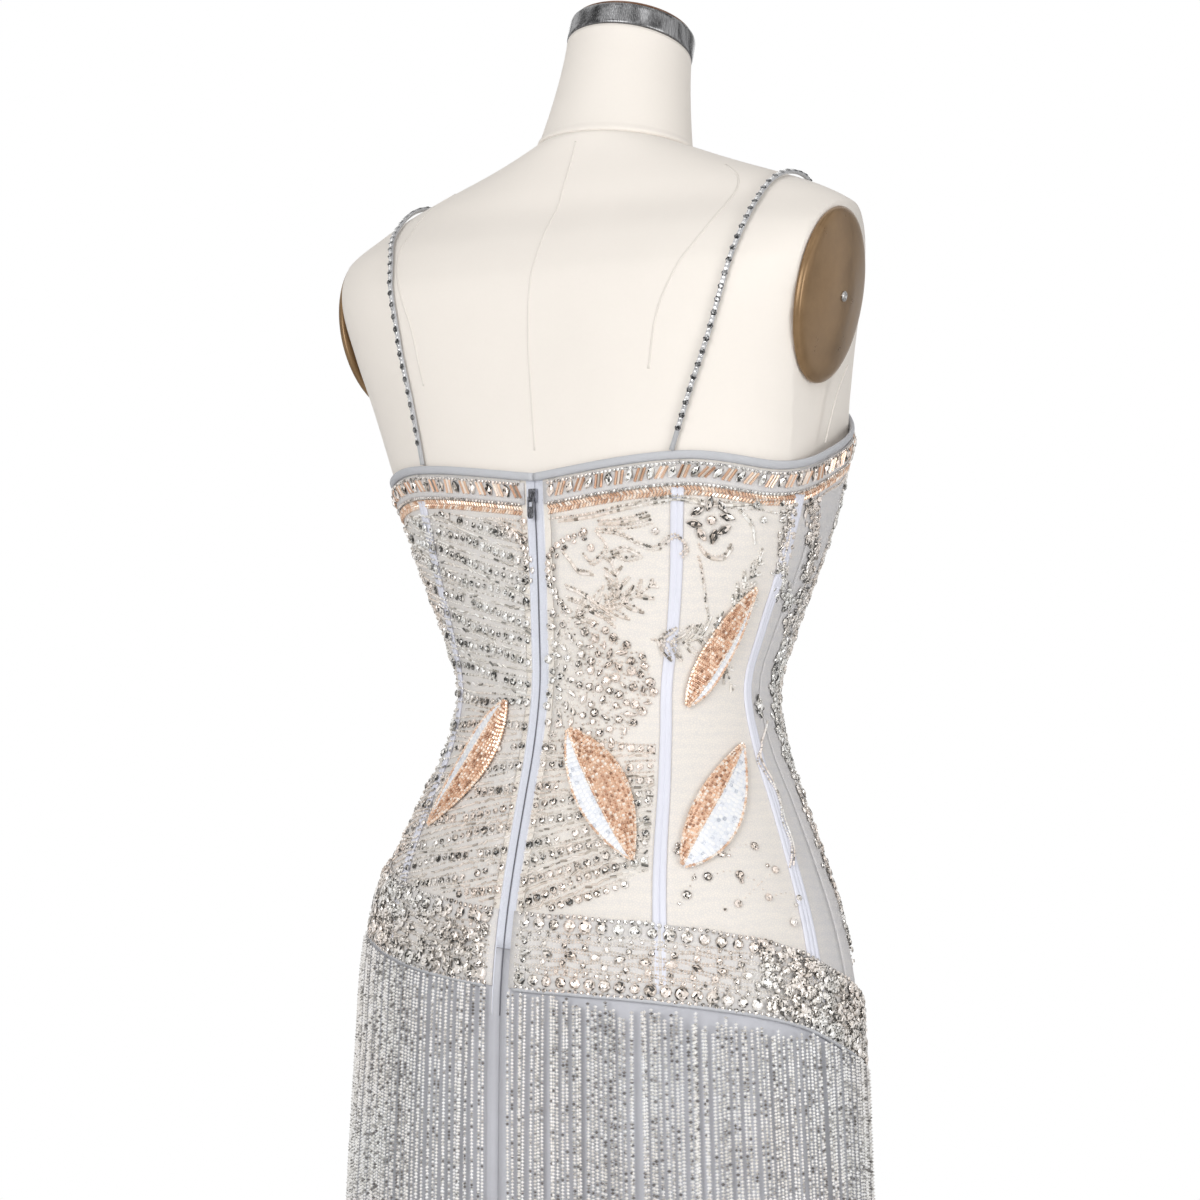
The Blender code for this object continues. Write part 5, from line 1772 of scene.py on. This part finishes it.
class GOWN_OT_zip(bpy.types.Operator):
    """Give the zip's slider and pull tab their metal"""

    bl_idname = "gown.zip"
    bl_label = "Zip Slider and Pull"

    def execute(self, context):
        for name in ("zip_slider", "zip_pull"):
            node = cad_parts[name]
            for slot in node.material_slots:
                slot.material = finish_named("zip_alloy")
        return {"FINISHED"}


# Stage

AIM = Vector((0.0102, 0.0063, 1.103))
CAMERA_AZIMUTH = math.radians(32.0)
CAMERA_DISTANCE = 2.6
CAMERA_HEIGHT = 0.95
CAMERA_LENS = 110.8
SENSOR_WIDTH = 36.0


def area_light(name, place, aim, width, height, power):
    """A soft oblong light aimed at a point."""
    lamp = bpy.data.lights.new(name, "AREA")
    lamp.shape = "RECTANGLE"
    lamp.size = width
    lamp.size_y = height
    lamp.energy = power
    holder = bpy.data.objects.new(name, lamp)
    holder.location = place
    holder.rotation_euler = (aim - place).to_track_quat("-Z", "Y").to_euler()
    bpy.context.scene.collection.objects.link(holder)


def studio_world():
    """White to the camera, even for the cloth, and broken into light and dark for the stones to mirror."""
    world = bpy.data.worlds.new("studio")
    world.use_nodes = True
    world.node_tree.nodes.clear()
    patches = ((0.0, (0.03,) * 3), (0.45, (0.12,) * 3), (0.51, (0.85,) * 3), (1.0, (1.0,) * 3))
    add_nodes(
        world.node_tree,
        {
            "place": ("TexCoord", {}),
            "upright": ("VectorMath", {1: (1.0, 1.0, 0.12)}, {"operation": "MULTIPLY"}),
            "patches": ("TexNoise", {"Scale": 4.6, "Detail": 1.0}),
            "mirrored": ("ValToRGB", {}, {"stops": patches}),
            "even": ("Background", {"Color": (1.0, 0.99, 0.98, 1.0), "Strength": 0.43}),
            "broken": ("Background", {"Strength": 1.35}),
            "seen": ("Background", {"Color": (1.0, 1.0, 1.0, 1.0), "Strength": 1.0}),
            "path": ("LightPath", {}),
            "lit": ("MixShader", {}),
            "mix": ("MixShader", {}),
            "end": ("OutputWorld", {}),
        },
        (
            "place.Generated > upright.0", "upright.Vector > patches.Vector", "patches.Fac > mirrored.Fac",
            "mirrored.Color > broken.Color", "path.Is Glossy Ray > lit.Fac", "even.Background > lit.1",
            "broken.Background > lit.2", "path.Is Camera Ray > mix.Fac", "lit.Shader > mix.1",
            "seen.Background > mix.2", "mix.Shader > end.Surface",
        ),
    )
    bpy.context.scene.world = world


class GOWN_OT_stage(bpy.types.Operator):
    """Set the floor, the lights and the camera"""

    bl_idname = "gown.stage"
    bl_label = "Stage"

    def execute(self, context):
        shape = bmesh.new()
        bmesh.ops.create_circle(shape, cap_ends=True, segments=96, radius=5.0)
        bmesh.ops.translate(shape, verts=shape.verts[:], vec=(0.0, 0.0, -0.0004))
        keep("studio_floor", shape, "floor_paper", smooth=False)
        studio_world()
        back = Vector((-math.sin(CAMERA_AZIMUTH), math.cos(CAMERA_AZIMUTH), 0.0))
        side = Vector((-math.cos(CAMERA_AZIMUTH), -math.sin(CAMERA_AZIMUTH), 0.0))
        up = Vector((0.0, 0.0, 1.0))
        # The two cap lights are tall panels that the cap's steel ring mirrors towards the camera
        cap = NECK_TOP_CENTRE
        for name, place, aim, width, height, power in (
            ("key_light", back * 2.6 - side * 1.3 + up * 1.75, AIM, 1.5, 1.5, 37.0),
            ("fill_light", back * 2.4 + side * 2.0 + up * 1.1, AIM, 1.4, 1.4, 26.0),
            ("front_light", back * -2.6 + up * 1.6, AIM, 2.0, 2.0, 10.0),
            ("cap_light_left", cap + (back * 0.55 - side * 0.43 + up * 0.71) * 2.2, cap, 0.5, 0.9, 1.9),
            ("cap_light_right", cap + (back * 0.70 + side * 0.37 + up * 0.61) * 2.2, cap, 0.5, 0.9, 1.9),
        ):
            area_light(name, place, aim, width, height, power)
        lens = bpy.data.cameras.new("photo_camera")
        lens.lens = CAMERA_LENS
        lens.sensor_width = SENSOR_WIDTH
        camera = bpy.data.objects.new("photo_camera", lens)
        camera.location = (back.x * CAMERA_DISTANCE, back.y * CAMERA_DISTANCE, CAMERA_HEIGHT)
        camera.rotation_euler = (AIM - camera.location).to_track_quat("-Z", "Y").to_euler()
        context.scene.collection.objects.link(camera)
        context.scene.camera = camera
        context.scene.view_settings.view_transform = "Standard"
        return {"FINISHED"}


# Settings and panel


class GownSizes(bpy.types.PropertyGroup):
    """Sizes that a user may change"""

    strand_pitch: bpy.props.FloatProperty(
        name="Strand Pitch", description="Distance between fringe strands at the hips", default=0.0033,
        unit="LENGTH",
    )
    coarse_bead: bpy.props.FloatProperty(
        name="Lower Bead Length", description="Bead length on the lower part of the strands", default=0.0089,
        unit="LENGTH",
    )
    fine_end: bpy.props.FloatProperty(
        name="Fine Bead End", description="Height down to which the strands have fine beads", default=0.668,
        unit="LENGTH",
    )


def colour_property(name, description, default):
    """A colour that a user may change."""
    return bpy.props.FloatVectorProperty(
        name=name, description=description, default=default, subtype="COLOR", size=3, min=0.0, max=1.0,
    )


class GownColours(bpy.types.PropertyGroup):
    """Colours that a user may change"""

    form: colour_property("Form", "Ivory jersey of the dress form", (0.92, 0.865, 0.80))
    ground: colour_property("Ground", "The form seen through the net", (0.90, 0.845, 0.775))
    net: colour_property("Net", "Threads of the net", (0.52, 0.53, 0.58))
    tape: colour_property("Zip Tape", "Woven tape of the zip", (0.76, 0.78, 0.86))
    satin: colour_property("Satin", "Boning channels", (0.80, 0.81, 0.90))
    binding: colour_property("Binding", "Rolled top edge", (0.57, 0.58, 0.61))
    lining: colour_property("Lining", "Underskirt behind the fringe", (0.57, 0.575, 0.62))


class GOWN_PT_panel(bpy.types.Panel):
    """List the gown's sizes, colours and pieces"""

    bl_idname = "GOWN_PT_panel"
    bl_label = "Beaded Mermaid Gown"
    bl_space_type = "VIEW_3D"
    bl_region_type = "UI"
    bl_category = "Gown"

    def draw(self, context):
        for group in (context.scene.gown_sizes, context.scene.gown_colours):
            box = self.layout.box()
            for name in group.__annotations__:
                box.prop(group, name)
        for operator in OPERATORS:
            self.layout.operator(operator.bl_idname)


OPERATORS = (
    GOWN_OT_form, GOWN_OT_fittings, GOWN_OT_stand, GOWN_OT_bodice, GOWN_OT_boning, GOWN_OT_binding,
    GOWN_OT_underskirt, GOWN_OT_bodice_rows, GOWN_OT_bodice_motifs, GOWN_OT_neckline, GOWN_OT_hip_band,
    GOWN_OT_leaves, GOWN_OT_fringe, GOWN_OT_straps, GOWN_OT_zip, GOWN_OT_stage,
)
CLASSES = (GownSizes, GownColours, *OPERATORS, GOWN_PT_panel)


def register():
    """Register the classes and their settings."""
    for item in CLASSES:
        bpy.utils.register_class(item)
    bpy.types.Scene.gown_sizes = bpy.props.PointerProperty(type=GownSizes)
    bpy.types.Scene.gown_colours = bpy.props.PointerProperty(type=GownColours)


def unregister():
    """Take the classes and their settings away again."""
    del bpy.types.Scene.gown_colours
    del bpy.types.Scene.gown_sizes
    for item in reversed(CLASSES):
        bpy.utils.unregister_class(item)


def main():
    """Build every piece in order."""
    register()
    for operator in OPERATORS:
        group, name = operator.bl_idname.split(".")
        getattr(getattr(bpy.ops, group), name)()


if __name__ == "__main__":
    main()
